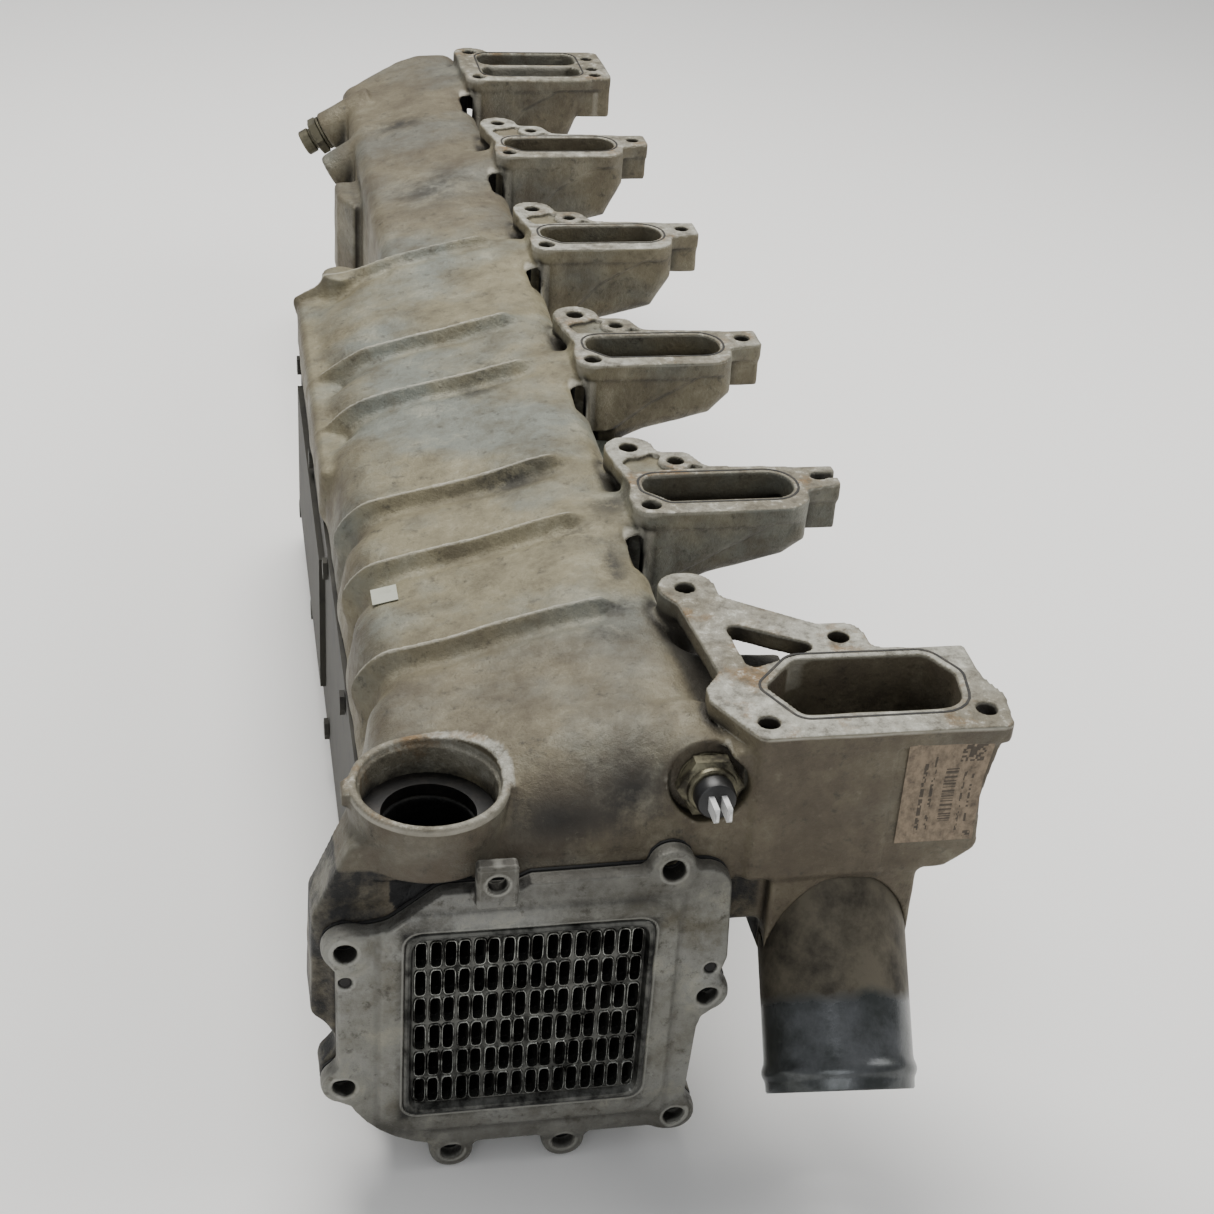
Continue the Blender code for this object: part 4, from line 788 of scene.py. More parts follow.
def on_machined_faces(points, normals):
    """1 on the port plane and the neck's rim, part of that inside the neck's mouth, 0 elsewhere."""
    x, y, z = points.T
    ring = np.hypot(x - neck_x, y - neck_y)
    port = plane(z, -1.3, -0.6) * plane(normals[:, 2], 0.5, 0.8)
    rim = plane(z, neck_top - 2.0, neck_top - 0.8) * plane(normals[:, 2], 0.4, 0.8) * (ring < 34)
    throat = 0.55 * plane(z, neck_top - 16, neck_top - 8) * (ring < 29.3)
    return np.maximum.reduce([port, rim, np.where(z < neck_top + 0.5, throat, 0)])


def blob(points, centre, size):
    """Soft spot of a size about a centre."""
    return np.exp(-np.sum(((points - np.array(centre)) / np.array(size)) ** 2, 1))


def casting_stains_and_shade(points, normals):
    """Dark patches and painted shade in the ports, neck, pockets and undersides; a film with painted shade on
    the front and side walls; wear with a painted highlight on the rib crests.
    """
    x, y, z = points.T
    dark_patches_and_shade = np.zeros(len(points))
    # dark patches on the top and on the front slope by the neck
    for centre, size in (((-20, 96, -14), (12, 10, 30)), ((-38, 160, -16), (18, 12, 30)),
                         ((-8, 30, -14), (10, 8, 30)),
                         ((-45, 262, -18), (14, 9, 30)), ((-32, 285, -16), (9, 14, 30)),
                         ((-14, 8, -14), (12, 7, 30)),
                         ((-20, -80, -32), (14, 20, 14)), ((-52, -84, -40), (22, 12, 10)),
                         ((-30, 560, -14), (22, 26, 30)),
                         ((-44, 690, -16), (20, 10, 30)), ((4, 118, -14), (9, 12, 20)),
                         ((-4, 66, -14), (6, 22, 20))):
        dark_patches_and_shade += 0.85 * blob(points, centre, size)
    # painted shade: the inside of each port darkens with its depth, then the neck's throat and the pockets
    # between ducts
    line = np.round((y + 45) / PITCH) * PITCH
    for number, far in enumerate((-36, -27, -27, -27, -27, -5)):
        inside = (x > 22) & (x < (120 if number == 0 else 97)) & (np.abs(line - number * PITCH) < 1)
        inside &= (y - line > (-78 if number == 0 else -60)) & (y - line < far)
        dark_patches_and_shade = np.where(inside & (z < -1.5), np.clip((-13 - z) / 20.0, 0, 1.6), dark_patches_and_shade)
    ring = np.hypot(x - neck_x, y - neck_y)
    dark_patches_and_shade = np.where((ring < 28.5) & (z < neck_top - 4) & (z > -110),
                    0.2 + np.clip((neck_top - 8 - z) / 9, 0, 1.8), dark_patches_and_shade)
    dark_patches_and_shade = np.where((x < 16) & (x > 4.5) & (z < -15) & (np.abs(y - line + 72) < 26) & (y > 60) & (y < 780),
                    1.5, dark_patches_and_shade)
    # painted shade on undersides and above the end plate's corner, and darker on the low front part of the
    # left wall
    dark_patches_and_shade += 0.55 * plane(-normals[:, 2], 0.05, 0.6) + 1.3 * plane(-x, 116,
                                                                  128) * plane(-y, 40, 70) * (z < -56)
    dark_patches_and_shade += 1.1 * plane(-z, 70, 80) * plane(x, 8, 16) * plane(-x, -37, -33) * (y < -40)
    # film and shade: painted shade on front faces and both side walls, and a browner film on the top's two
    # ends, round the neck and on the first port's box
    front = np.clip((-20 - y) / 30, 0, 1) * np.clip(0.25 - normals[:, 1] * 0.8, 0, 1) * (z < -1)
    upper = (0.6 * plane(-y, -70, 10) + 0.65 * plane(y, 430, 520)) * (z < -1)
    near_neck = np.clip(1.9 - ring / 30, 0, 1) * (ring > 29) * (z < neck_top - 1.5)
    walls = 0.65 * np.clip(0.7 - normals[:, 2], 0, 1) * np.clip((x - 12) / 14, 0, 1)
    left_wall = 0.9 * np.clip(-normals[:, 0] - 0.3, 0, 1) * (x < -80)
    box = (x > 26) & (y < -30) & (z < -1.5)
    # wear: none in the pipe's socket and the neck, most along the crests of the ribs, where it paints a
    # highlight
    from_pipe = points - PIPE_END
    along = from_pipe @ pipe_way
    aside = np.sqrt(np.maximum(np.sum(from_pipe ** 2, 1) - along ** 2, 0))
    wear = np.where((aside < 36) | ((ring < 36) & (z < neck_top - 3)), 0.0, 1.0) * np.where(z < -3, 0.7, 1.0)
    for place_y in RIBS:
        distance = y - (place_y + rib_bend(x))
        wear += 4.0 * np.exp(-((distance - 0.8) / 1.8) ** 2) * plane(-x, 8, 20) * plane(z, -50, -40)
    return dark_patches_and_shade, np.clip(np.maximum.reduce([front, upper, near_neck, walls, left_wall, box * 0.9]), 0,
                         1), wear


# the casting is meshed in boxes of (low, high, lattice step), finer where the shape is tight and near
REGIONS = [((-155, -105, -205), (6, -20, 2), 1.25), ((6, -105, -205), (72, 42, 2), 1.15),
           ((72, -105, -205), (140, 42, 2), 1.15), ((-155, -20, -205), (6, 210, 2), 1.6),
           ((-155, 210, -205), (6, 470, 2), 1.8), ((-155, 470, -205), (6, 850, 2), 2.0)]
REGIONS += [((6, 42 + 160 * k + (0 if k == 0 else -30), -205), (140, 172 + 160 * k, 2), step)
            for k, step in enumerate((1.2, 1.3, 1.4, 1.5))]
REGIONS += [((6, 652, -205), (140, 850, 2), 1.6)]
for k, (low, high, step) in enumerate(REGIONS):
    piece = mesh_region(casting, f"casting_{k + 1:02d}", low, high, step, on_machined_faces, 1.0,
                        casting_stains_and_shade,
                        casting_metal)
    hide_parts("manifold_casting")

# ------------------------------------------------------------ end plate
# Flat cast-aluminium cover for the cooler's gas side, machined on both faces, with seven screw
# ears, a lug for a pipe clip and a window for the core. Same field way as the casting, finer.
PLATE_FACE, PLATE_BACK = -99.8, -91.8
WINDOW_X, WINDOW_Z, WINDOW_W, WINDOW_H = -62.25, -130.0, 50.75, 48.75


def window_outline(grow, radius):
    """Rounded outline of the window, grown by an amount."""
    w, h = WINDOW_W + grow, WINDOW_H + grow
    return arcs([(WINDOW_X - w, WINDOW_Z - h, radius), (WINDOW_X + w, WINDOW_Z - h, radius),
                 (WINDOW_X + w, WINDOW_Z + h, radius), (WINDOW_X - w, WINDOW_Z + h, radius)])


plate_recipe = Recipe()
plate_recipe.join(prism(PLATE, "y", PLATE_FACE, PLATE_BACK, 1.2), (-142, -101, -201), (22, -91, -56))
for ex, ez in EARS:
    plate_recipe.join(post((ex, PLATE_FACE + 0.1, ez), (ex, PLATE_BACK, ez), EAR_RADIUS, 1.0),
                      (ex - 10, -101, ez - 10),
                      (ex + 10, -91, ez + 10), 3.5)


def plate_step(x, y, z):
    """Border a little lower than the raised field around the window."""
    away = outline_distance(x, z, window_outline(0, 6.0))
    return (plane(away, 9.0, 11.0) * 1.0 - plane(away, 2.0, 4.5) * 0.4) * plane(-y, 96, 99) + 0 * y


plate_recipe.swell(plate_step, (-150, -103, -215), (25, -94, -45))
plate_recipe.join(brick((-86, -103.8, -67), (-69.2, -96.5, -46.5), 1.5), (-87, -104, -68), (-68, -96, -46),
                  1.5)
plate_recipe.cut(prism(window_outline(0, 6.0), "y", -106, -88), (-116, -106, -182), (-8, -88, -78), 0.8)
for ex, ez in EARS:
    front_hole(plate_recipe, ex, ez, -106, -86, SCREW_RADIUS, 0.9)
for ex, ez in DOWELS:
    front_hole(plate_recipe, ex, ez, -106, -86, 2.7, 0.5)
front_hole(plate_recipe, -77.6, -55.0, -106, -90, 4.0, 0.6)


def plate_stains_and_shade(points, normals):
    """Painted shade in the window's edge, dark patches, darker towards the lower and upper edges, and painted
    shade on faces turned from the front and along the raised field's step.
    """
    x, y, z = points.T
    away = np.maximum(np.abs(x - WINDOW_X) - WINDOW_W, np.abs(z - WINDOW_Z) - WINDOW_H)
    # painted shade round the window's edge, and dark patches
    dark_patches_and_shade = 0.8 * np.exp(-(np.clip(away, 0,
                                  99) / 2.5) ** 2) + 0.5 * blob(points, (-110, -100, -75), (14, 9, 8))
    dark_patches_and_shade += 0.5 * blob(points, (-120, -100, -188),
                       (24, 9, 9)) + 0.45 * blob(points, (-30, -100, -72), (40, 9, 6))
    # darker towards the lower and upper edges, and painted shade on faces not turned to the front
    film_and_shade = np.clip((-165 - z) / 40, 0, 0.8) + np.clip((z + 82) / 30, 0, 0.6) + 0.5 * (normals[:, 1] > -0.6)
    # painted shade along the step of the raised field round the window
    film_and_shade += 0.35 * plane(away, 9.0, 10.5) * plane(-away, -13.5, -11.5)
    return dark_patches_and_shade, np.clip(film_and_shade, 0, 1), np.ones(len(x))


# machined aluminium gone dull: cold grey with painted shade round the window and pale worn edges
plate_metal = weathered_casting("dulled_machined_aluminium", "#7B7A72", "#8A8A85", "#4C4A45", "#2A2926",
                                "#A09F97",
                                "#9A9A94", "#6E5A3E")
plate_metal.node_tree.nodes["Principled BSDF"].inputs["Metallic"].default_value = 0.45
end_plate = mesh_region(plate_recipe, "end_plate_visual", (-150, -106, -215), (26, -89, -44), 0.8,
                        lambda points, normals: np.zeros(len(points)), 0.25, plate_stains_and_shade, plate_metal)
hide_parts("end_plate")


# ------------------------------------------------------------ cooler core
# Dull stainless front header: ninety-six flat oval tubes brazed through it, each with a proud lip
# given a lighter copy of the steel as a painted highlight, and a pressed rim that clamps the header in the
# window.
def shell(name, rings, material, nodes, sharp=35.0, marks=None):
    """Skin through closed rings of points, each ring joined to the next by quads that face outwards."""
    rings = np.asarray(rings, float)
    count, size = rings.shape[:2]
    index = np.arange(count * size).reshape(count, size)
    low, high = index[:-1], index[1:]
    quads = np.stack([low, np.roll(low, -1, 1), np.roll(high, -1, 1), high], -1).reshape(-1, 4)
    points = rings.reshape(-1, 3)
    a, b, c, d = (points[quads[:, k]] for k in range(4))
    volume = np.sum(a * np.cross(b, c)) + np.sum(a * np.cross(c, d))
    if volume < 0:
        quads = quads[:, ::-1]
    mesh = bpy.data.meshes.new(name)
    mesh.from_pydata((points * MM + ORIGIN).tolist(), [], quads.tolist())
    mesh.update()
    mesh.shade_smooth()
    mesh.set_sharp_from_angle(angle=math.radians(sharp))
    for label, values in (marks or {}).items():
        mesh.attributes.new(label, "FLOAT", "POINT").data.foreach_set("value", np.asarray(values, np.float32))
    piece = bpy.data.objects.new(name, mesh)
    bpy.context.scene.collection.objects.link(piece)
    mesh.materials.append(material)
    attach(piece, "root")
    if nodes:
        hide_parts(*nodes)
    return piece


def simple_material(name, colour, roughness, metallic, stain_colour, scale=60.0, low=0.48, high=0.68):
    """Plain finish with blotches of a second colour."""
    made, tree, shader = start_material(name, colour, roughness, metallic)
    spots = add_node(tree, "ShaderNodeTexCoord")
    noise = add_node(tree, "ShaderNodeTexNoise", None, {"Scale": scale, "Detail": 6.0, "Roughness": 0.7},
                     [("Vector", spots, "Object")])
    mask = add_node(tree, "ShaderNodeMapRange", None, {"From Min": low, "From Max": high},
                    [("Value", noise, "Fac")])
    mixed = add_node(tree, "ShaderNodeMix", {"data_type": "RGBA"},
                     {"A": linear(colour), "B": linear(stain_colour)}, [("Factor", mask, "Result")])
    tree.links.new(mixed.outputs["Result"], shader.inputs["Base Color"])
    bump = add_node(tree, "ShaderNodeBump", None, {"Strength": 0.25, "Distance": 0.0006},
                    [("Height", noise, "Fac")])
    tree.links.new(bump.outputs["Normal"], shader.inputs["Normal"])
    return made


# brazed stainless steel under soot, dark with a dull gloss, and a lighter copy of the same metal on the lips
# as a painted highlight
dark_steel = simple_material("sooty_stainless_steel", "#5E5E5A", 0.36, 0.85, "#1A1A18", 70.0, 0.42, 0.62)
lip_highlight_steel = simple_material("stainless_steel_lip_highlight", "#A3A49F", 0.26, 1.0, "#33322F", 190.0, 0.40, 0.58)
COLUMN_PITCH, ROW_PITCH, SLOT_W, SLOT_H = 5.9, 14.75, 2.05, 6.35
HEADER_Y = PLATE_FACE + 2.5
turn = np.arange(32) * math.pi / 16
cosine, sine = np.cos(turn), np.sin(turn)
most = np.maximum(np.abs(cosine), np.abs(sine))


def oval(grow):
    """Flat oval of a tube's mouth, grown by an amount."""
    u = (SLOT_W + grow) * np.sign(cosine) * np.abs(cosine) ** (2 / 3.6)
    v = (SLOT_H + grow) * np.sign(sine) * np.abs(sine) ** (2 / 4.6)
    return u, v


# one tile of the header for each tube: from the tile's square edge over the lip and down the tube
levels = [((cosine / most * COLUMN_PITCH / 2, sine / most * ROW_PITCH / 2), 0.0), (oval(0.75), -0.1),
          (oval(0.6), -0.5), (oval(0.4), -0.8), (oval(0.15), -0.8), (oval(0.0), -0.4), (oval(0.0), 1.0),
          (oval(-0.1), 14.0), (oval(-0.1), 45.0)]
columns = WINDOW_X + (np.arange(16) - 7.5) * COLUMN_PITCH
rows = WINDOW_Z + (np.arange(6) - 2.5) * ROW_PITCH
centre_x, centre_z = (grid.ravel() for grid in np.meshgrid(columns, rows))
lean = np.sin(centre_x * 1.7 + centre_z * 0.9) * 0.25       # each lip leans a little its own way
TUBES, AROUND, count = len(centre_x), len(turn), len(levels)
stack = np.stack([np.stack([centre_x[:, None] + u + (lean[:, None] * (depth < 0)),
                            np.full((TUBES, AROUND), HEADER_Y + depth), centre_z[:, None] + v], -1)
                  for (u, v), depth in levels], 1)
index = np.arange(TUBES * count * AROUND).reshape(TUBES, count, AROUND)
low, high = index[:, :-1], index[:, 1:]
quads = np.stack([low, high, np.roll(high, -1, 2), np.roll(low, -1, 2)], -1)
mesh = bpy.data.meshes.new("core_header")
mesh.from_pydata((stack.reshape(-1, 3) * MM + ORIGIN).tolist(), [], quads.reshape(-1, 4).tolist())
mesh.update()
mesh.shade_smooth()
mesh.set_sharp_from_angle(angle=math.radians(40))
mesh.materials.append(dark_steel)
mesh.materials.append(lip_highlight_steel)
ring_of_face = np.broadcast_to(np.arange(count - 1)[None, :, None], (TUBES, count - 1, AROUND)).ravel()
LIP_RINGS = (1, 2, 3, 4)
# the lip rings take the lighter steel as a painted highlight
mesh.polygons.foreach_set("material_index", np.isin(ring_of_face, LIP_RINGS).astype(np.int32))
header = bpy.data.objects.new("core_header", mesh)
bpy.context.scene.collection.objects.link(header)
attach(header, "root")
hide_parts("core_header_front")

# the rim is a rounded rectangle, cosine and sine each raised to a ninth, carried through a rolled profile
rim_turn = np.arange(128) * math.pi / 64
unit = np.stack([np.sign(wave) * np.abs(wave) ** (1 / 9) for wave in (np.cos(rim_turn), np.sin(rim_turn))], 1)
rim_rings = []
for half_w, half_h, y in ((47.0, 44.1, HEADER_Y + 0.1), (47.6, 44.8, HEADER_Y), (48.2, 45.6, HEADER_Y - 1.6),
                          (48.8, 46.4, HEADER_Y - 2.9), (49.8, 47.6, HEADER_Y - 3.4),
                          (50.8, 48.8, HEADER_Y - 3.0),
                          (51.2, 49.2, HEADER_Y - 2.3), (51.2, 49.2, HEADER_Y + 1.0)):
    rim_rings.append(np.stack([WINDOW_X + unit[:, 0] * half_w, np.full(128, y),
                               WINDOW_Z + unit[:, 1] * half_h], 1))
shell("core_rim", rim_rings[::-1], dark_steel, None)


# ------------------------------------------------------------ charge pipe
# Turned aluminium tube with a rolled hose bead; oily and glossy where the hose sat, dusty above it.
def axes_of(way):
    """Two unit directions across a direction."""
    way = np.asarray(way, float) / np.linalg.norm(way)
    first = np.cross(way, (0.0, 0.0, 1.0) if abs(way[2]) < 0.9 else (1.0, 0.0, 0.0))
    first /= np.linalg.norm(first)
    return way, first, np.cross(way, first)


def turned_rings(profile, start, way, steps=96, hexagon=()):
    """Rings of a turned profile of (radius, height); the listed rings are hexagons of that half width."""
    way, first, second = axes_of(way)
    angles = np.arange(steps) * 2 * math.pi / steps
    sixth = (angles % (math.pi / 3)) - math.pi / 6
    rings = []
    for k, (radius, height) in enumerate(profile):
        r = radius / np.cos(sixth) if k in hexagon else np.full(steps, float(radius))
        rings.append(np.asarray(start, float) + way * height + (np.cos(angles) * r)[:, None] * first
                     + (np.sin(angles) * r)[:, None] * second)
    return np.array(rings)


pipe_profile = [(28.6, 102), (31.4, 102), (31.45, 60), (31.4, 14), (31.6, 12.2), (32.2, 10.6), (32.6, 9.2),
                (32.6, 7.8), (32.2, 6.6), (31.6, 5.4), (31.3, 4.2), (31.2, 1.0), (30.7, 0.2), (29.2, 0.2),
                (28.6, 0.9),
                (28.6, 50), (28.6, 102)]
# turned aluminium: matt brown film of baked oil above, wet black-grey gloss where the hose sat
pipe_metal, tree, shader = start_material("oily_turned_aluminium", "#54503F", 0.5, 0.6)
along = add_node(tree, "ShaderNodeAttribute", {"attribute_name": "along"})
spots = add_node(tree, "ShaderNodeTexCoord")
streaks = add_node(tree, "ShaderNodeTexNoise", None, {"Scale": 38.0, "Detail": 7.0, "Roughness": 0.7},
                   [("Vector", spots, "Object")])
wobble = add_node(tree, "ShaderNodeMath", {"operation": "MULTIPLY_ADD"}, {1: 16.0},
                  [(0, streaks, "Fac"), (2, along, "Fac")])
band = add_node(tree, "ShaderNodeMapRange", None, {"From Min": 44.0, "From Max": 49.0},
                [("Value", wobble, "Value")])
blotch = add_node(tree, "ShaderNodeMapRange", None, {"From Min": 0.42, "From Max": 0.66},
                  [("Value", streaks, "Fac")])
upper = add_node(tree, "ShaderNodeMix", {"data_type": "RGBA"},
                 {"A": linear("#615B4E"), "B": linear("#2E2A24")},
                 [("Factor", blotch, "Result")])
lower = add_node(tree, "ShaderNodeMix", {"data_type": "RGBA"},
                 {"A": linear("#3A3D3C"), "B": linear("#5D5F61")},
                 [("Factor", blotch, "Result")])
both_ends = add_node(tree, "ShaderNodeMix", {"data_type": "RGBA"}, None,
                     [("Factor", band, "Result"), ("A", lower, "Result"), ("B", upper, "Result")])
tree.links.new(both_ends.outputs["Result"], shader.inputs["Base Color"])
gloss = add_node(tree, "ShaderNodeMapRange", None, {"To Min": 0.26, "To Max": 0.62},
                 [("Value", band, "Result")])
tree.links.new(gloss.outputs["Result"], shader.inputs["Roughness"])
bump = add_node(tree, "ShaderNodeBump", None, {"Strength": 0.35, "Distance": 0.0012},
                [("Height", streaks, "Fac")])
tree.links.new(bump.outputs["Normal"], shader.inputs["Normal"])
heights = np.repeat([height for _, height in pipe_profile], 96)
shell("charge_pipe_visual", turned_rings(pipe_profile, PIPE_END, pipe_way), pipe_metal,
      ("charge_pipe",), marks={"along": heights})

# ------------------------------------------------------------ temperature sensor
# Zinc-plated hexagon with an olive chromate colour, a turned collar, a black moulded body and
# two tinned blades, screwed into the boss over a washer.
# yellow-chromated zinc gone olive and dirty; moulded plastic with a soft gloss; bright tinned blades
olive_zinc = simple_material("chromated_zinc_steel", "#6A6653", 0.4, 0.7, "#2F2B22", 120.0, 0.42, 0.62)
black_plastic = simple_material("black_moulded_plastic", "#0D0D0D", 0.4, 0.0, "#1C1B1A", 90.0)
tinned = simple_material("tinned_brass", "#F0F0EE", 0.25, 0.3, "#B8B8B4", 150.0)
shell("sensor_washer_visual",
      turned_rings([(6.5, 0.3), (11.8, 0.3), (12.0, 0.5), (12.0, 1.6), (11.8, 1.8), (6.5, 1.8),
                                            (6.5, 0.3)], SENSOR, sensor_way), olive_zinc,
      ("sensor_washer",))
hexagon_profile = [(5.0, 2.1), (11.3, 2.1), (12.0, 2.9), (12.0, 8.6), (11.2, 9.6), (10.4, 9.8),
                   (10.2, 10.6), (10.0, 11.6),
                   (9.2, 12.2), (5.0, 12.2)]
shell("sensor_body_visual", turned_rings(hexagon_profile, SENSOR, sensor_way, hexagon=(2, 3)), olive_zinc,
      ("sensor_body",))
shell("sensor_plug_visual",
      turned_rings([(0.01, 10.0), (8.2, 10.0), (8.4, 12.6), (8.3, 17.5), (7.6, 19.0), (6.9, 19.4),
                                          (0.01, 19.4)], SENSOR, sensor_way, 64), black_plastic,
      ("sensor_plug",))
ACROSS = np.array((1.0, 0, 0))
BLADE = np.array([(-1.1, -3.0), (1.1, -3.0), (1.1, 3.0), (-1.1, 3.0)])
for k, shift in enumerate((-2.6, 2.6)):
    blade = [SENSOR + ACROSS * shift + sensor_way * height
             + (BLADE[:, :1] * ACROSS + BLADE[:, 1:] * np.cross(sensor_way, ACROSS)) * scale
             for height, scale in ((18.8, 0.01), (18.8, 1.0), (29.5, 1.0), (31.0, 0.5), (31.0, 0.01))]
    shell(f"sensor_blade_{k + 1}", blade, tinned, (f"sensor_terminal_{k + 1}",), 20.0)

# ------------------------------------------------------------ rear fitting
# Hexagon plug with a knurled stub, dull zinc under dust, screwed into the rear boss.
# zinc plate dulled by dust, a matt khaki grey
dull_zinc = simple_material("dusty_zinc_steel", "#5E5A4A", 0.5, 0.6, "#2F2C25", 110.0)
shell("fitting_washer_visual",
      turned_rings([(6.5, 0.3), (12.6, 0.3), (12.6, 1.8), (6.5, 1.8), (6.5, 0.3)], FITTING,
                                            fitting_way), dull_zinc, ("fitting_washer",))
shell("rear_fitting_visual",
      turned_rings([(3.5, 2.1), (11.4, 2.1), (12.0, 2.8), (12.0, 8.0), (11.2, 8.8), (8.0, 9.0),
                                           (8.0, 10.5), (9.2, 11.2), (9.2, 17.2), (8.4, 18.0), (4.0, 18.0),
                    (3.6, 2.1)],
                                          FITTING, fitting_way, hexagon=(2, 3)), dull_zinc,
      ("rear_fitting",))

# ------------------------------------------------------------ core plug and neck ring
# Pressed steel cup plug in its boss by the second port; pressed steel seat ring inside the neck.
# pressed steel with a dull green-grey film; near-black steel deep in the neck
grey_steel = simple_material("greened_steel", "#6E7266", 0.6, 0.3, "#4A4A40", 240.0, 0.5, 0.66)
shell("core_plug_visual",
      turned_rings([(0.01, -3.0), (12.7, -3.0), (12.7, 0.2), (12.0, 0.6), (11.0, 0.3), (10.2, -0.9),
                                        (9.0, -1.2), (0.01, -1.0)], (24.5, 244, -48), (0, 0, 1)), grey_steel,
      ("core_plug",))
neck_dark = simple_material("near_black_pressed_steel", "#141312", 0.5, 0.4, "#2A2622", 140.0)
shell("neck_ring_visual",
      turned_rings([(19.5, -51.4), (27.4, -51.4), (27.4, -46.2), (19.5, -46.2), (19.5, -51.4)],
                                       (neck_x, neck_y, 0), (0, 0, 1)), neck_dark,
      ("neck_seat_ring",))

# ------------------------------------------------------------ port seals
# Flat black rubber seals lying round the ports, nearly flush with the machined face.
# black rubber with dust in its surface, matt
rubber = simple_material("dusty_seal_rubber", "#191816", 0.7, 0.0, "#3A352C", 200.0)


def loop_offset(points, amount):
    """Closed outline moved outwards by an amount along its own normals."""
    points = np.array(points, float)
    points = points[np.linalg.norm(points - np.roll(points, 1, 0), axis=1) > 1e-3]
    ahead = np.roll(points, -1, 0) - points
    ahead /= np.maximum(np.linalg.norm(ahead, axis=1, keepdims=True), 1e-9)
    mean = ahead + np.roll(ahead, 1, 0)
    mean /= np.maximum(np.linalg.norm(mean, axis=1, keepdims=True), 1e-9)
    area = np.sum(points[:, 0] * np.roll(points[:, 1], -1) - points[:, 1] * np.roll(points[:, 0], -1))
    outward = np.stack([mean[:, 1], -mean[:, 0]], 1) * np.sign(area)
    return points + outward * amount


SEAL_PROUD = -0.02         # the seals' top against the port plane; the visible face is 0.25 lower
SEAL_SECTION = ((0.0, -0.6), (0.0, -0.05), (0.25, 0.0), (0.95, 0.0), (1.2, -0.05), (1.2, -0.6), (0.0, -0.6))
last_outline = moved(arcs([(24.5, -59, 9), (96, -59, 9), (96, -7, 9), (24.5, -7, 9)]), 5 * PITCH)
outlines = [OPENING] + [moved(SLOT, PITCH * k) for k in (1, 2, 3, 4)] + [last_outline]
for number, outline in enumerate(outlines):
    inner_gap = 2.6 if number == 0 else 1.5
    loops = [(loop_offset(outline, inner_gap + off), z + SEAL_PROUD) for off, z in SEAL_SECTION]
    rings = [np.column_stack([loop, np.full(len(loop), z)]) for loop, z in loops]
    shell(f"port_seal_visual_{number + 1}", rings, rubber, (f"port_seal_{number + 1}",))

# ------------------------------------------------------------ side cover, screws and gaskets
# The CAD pieces are kept: a dark flat cover with its screws over a fibre gasket.
# cast cover, nearly black and matt; grey-black fibre sheet
cover_paint = simple_material("near_black_cast_cover", "#34322B", 0.65, 0.3, "#1D1B17", 45.0)
fibre = simple_material("fibre_gasket_sheet", "#1F1F1F", 0.8, 0.0, "#2B2A28", 200.0)
nodes = frame["nodes"]
FINISHES = ((("side_cover",), cover_paint), (("core_seal",), rubber),
            (("locating_dowel", "tube_row", "core_baffle", "core_header_rear"), neck_dark))
for name, node in nodes.items():
    finish = fibre if name.endswith("gasket") else None
    for starts, look in FINISHES:
        if finish is None and name.startswith(starts):
            finish = look
    if finish:
        for socket in node.material_slots:
            socket.material = finish

# ------------------------------------------------------------ label and sticker
# Aged paper label with plain printed blocks and bars that carry no text, and a small white sticker.
# yellowed matt paper, stained with oil, with dark brown print
label_paper, tree, shader = start_material("aged_label_paper", "#8A7B66", 0.65, 0.0)
coords = add_node(tree, "ShaderNodeUVMap")
shape_node = add_node(tree, "ShaderNodeSeparateXYZ", None, None, [("Vector", coords, "UV")])


def window_mask(low_u, high_u, low_v, high_v):
    """1 inside a box of the label's own coordinates."""
    tests = []
    for axis, low_edge, high_edge in (("X", low_u, high_u), ("Y", low_v, high_v)):
        over = add_node(tree, "ShaderNodeMath", {"operation": "GREATER_THAN"}, {1: low_edge},
                        [(0, shape_node, axis)])
        under = add_node(tree, "ShaderNodeMath", {"operation": "LESS_THAN"}, {1: high_edge},
                         [(0, shape_node, axis)])
        tests.append(add_node(tree, "ShaderNodeMath", {"operation": "MULTIPLY"}, None,
                              [(0, over, "Value"), (1, under, "Value")]))
    return add_node(tree, "ShaderNodeMath", {"operation": "MULTIPLY"}, None,
                    [(0, tests[0], "Value"), (1, tests[1], "Value")])


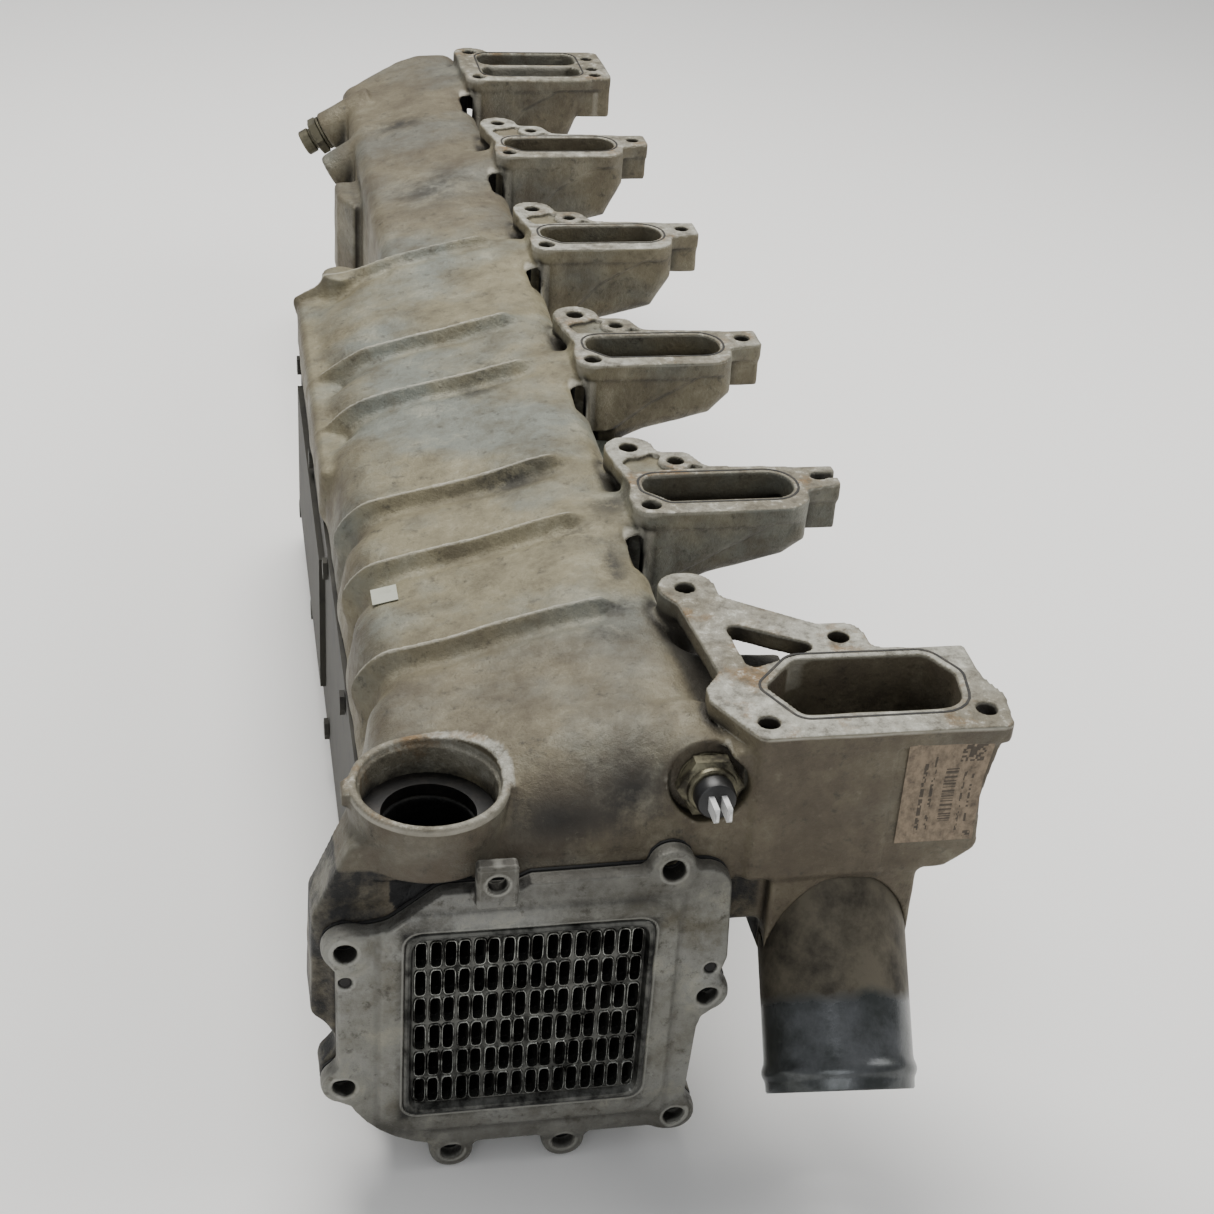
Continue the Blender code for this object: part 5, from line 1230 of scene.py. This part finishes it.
bars = add_node(tree, "ShaderNodeTexNoise", {"noise_dimensions": "1D"}, {"Scale": 42.0, "Detail": 2.0},
                [("W", shape_node, "Y")])
dots = add_node(tree, "ShaderNodeTexWhiteNoise", {"noise_dimensions": "2D"})
grid_steps = add_node(tree, "ShaderNodeVectorMath", {"operation": "SNAP"}, {1: (0.028, 0.021, 1.0)},
                      [(0, coords, "UV")])
tree.links.new(grid_steps.outputs["Vector"], dots.inputs["Vector"])
ink = None
for box_edges, source, output, threshold in (
        ((0.64, 0.92, 0.80, 0.97), dots, "Value", 0.5), ((0.50, 0.66, 0.20, 0.74), bars, "Fac", 0.5),
        ((0.22, 0.27, 0.10, 0.80), dots, "Value", 0.35), ((0.34, 0.38, 0.12, 0.86), dots, "Value", 0.45),
        ((0.74, 0.77, 0.10, 0.70), dots, "Value", 0.45), ((0.84, 0.87, 0.16, 0.74), dots, "Value", 0.45),
        ((0.86, 0.96, 0.03, 0.09), dots, "Value", 0.4)):
    printed = add_node(tree, "ShaderNodeMath", {"operation": "GREATER_THAN"}, {1: threshold},
                       [(0, source, output)])
    inside = window_mask(*box_edges)
    block = add_node(tree, "ShaderNodeMath", {"operation": "MULTIPLY"}, None,
                     [(0, printed, "Value"), (1, inside, "Value")])
    if ink is None:
        ink = block
    else:
        ink = add_node(tree, "ShaderNodeMath", {"operation": "MAXIMUM"}, None,
                       [(0, ink, "Value"), (1, block, "Value")])
wear = add_node(tree, "ShaderNodeTexNoise", None, {"Scale": 9.0, "Detail": 7.0, "Roughness": 0.72},
                [("Vector", coords, "UV")])
aged = add_node(tree, "ShaderNodeMapRange", None, {"From Min": 0.42, "From Max": 0.66},
                [("Value", wear, "Fac")])
paper = add_node(tree, "ShaderNodeMix", {"data_type": "RGBA"},
                 {"A": linear("#84745F"), "B": linear("#4F4436")},
                 [("Factor", aged, "Result")])
fade = add_node(tree, "ShaderNodeMath", {"operation": "MULTIPLY"}, {1: 0.8}, [(0, ink, "Value")])
printed = add_node(tree, "ShaderNodeMix", {"data_type": "RGBA"}, {"B": linear("#231D16")},
                   [("Factor", fade, "Value"), ("A", paper, "Result")])
tree.links.new(printed.outputs["Result"], shader.inputs["Base Color"])
LABEL_LEFT, LABEL_RIGHT, LABEL_LOW, LABEL_HIGH = 88.2, 121.8, -57.0, -7.2
u, v = np.meshgrid(np.linspace(0, 1, 25), np.linspace(0, 1, 33), indexing="ij")
bow = 0.12 * np.sin(u * 9.0) * np.sin(v * 7.0)
right_edge = LABEL_RIGHT + np.maximum(v - 0.6, 0) * 7.0
points = np.stack([LABEL_LEFT + u * (right_edge - LABEL_LEFT), BOX_FRONT + 0.1 - np.abs(bow),
                   LABEL_LOW + v * (LABEL_HIGH - LABEL_LOW)], -1).reshape(-1, 3)
index = np.arange(u.size).reshape(u.shape)
quads = np.stack([index[:-1, :-1], index[1:, :-1], index[1:, 1:], index[:-1, 1:]], -1).reshape(-1, 4)
mesh = bpy.data.meshes.new("label")
mesh.from_pydata((points * MM + ORIGIN).tolist(), [], quads.tolist())
mesh.update()
uv = mesh.uv_layers.new(name="UVMap")
corner = np.zeros(len(mesh.loops), np.int32)
mesh.loops.foreach_get("vertex_index", corner)
uv.data.foreach_set("uv", np.stack([u.ravel()[corner], v.ravel()[corner]], 1).astype(np.float32).ravel())
mesh.materials.append(label_paper)
label = bpy.data.objects.new("label", mesh)
bpy.context.scene.collection.objects.link(label)
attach(label, "root")
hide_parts("data_label")

# white paper, a little dirty, matt
sticker_paper = simple_material("white_sticker_paper", "#A9AA9C", 0.6, 0.0, "#8B8B7C", 150.0, 0.5, 0.8)
for socket in nodes["inspection_sticker"].material_slots:
    socket.material = sticker_paper
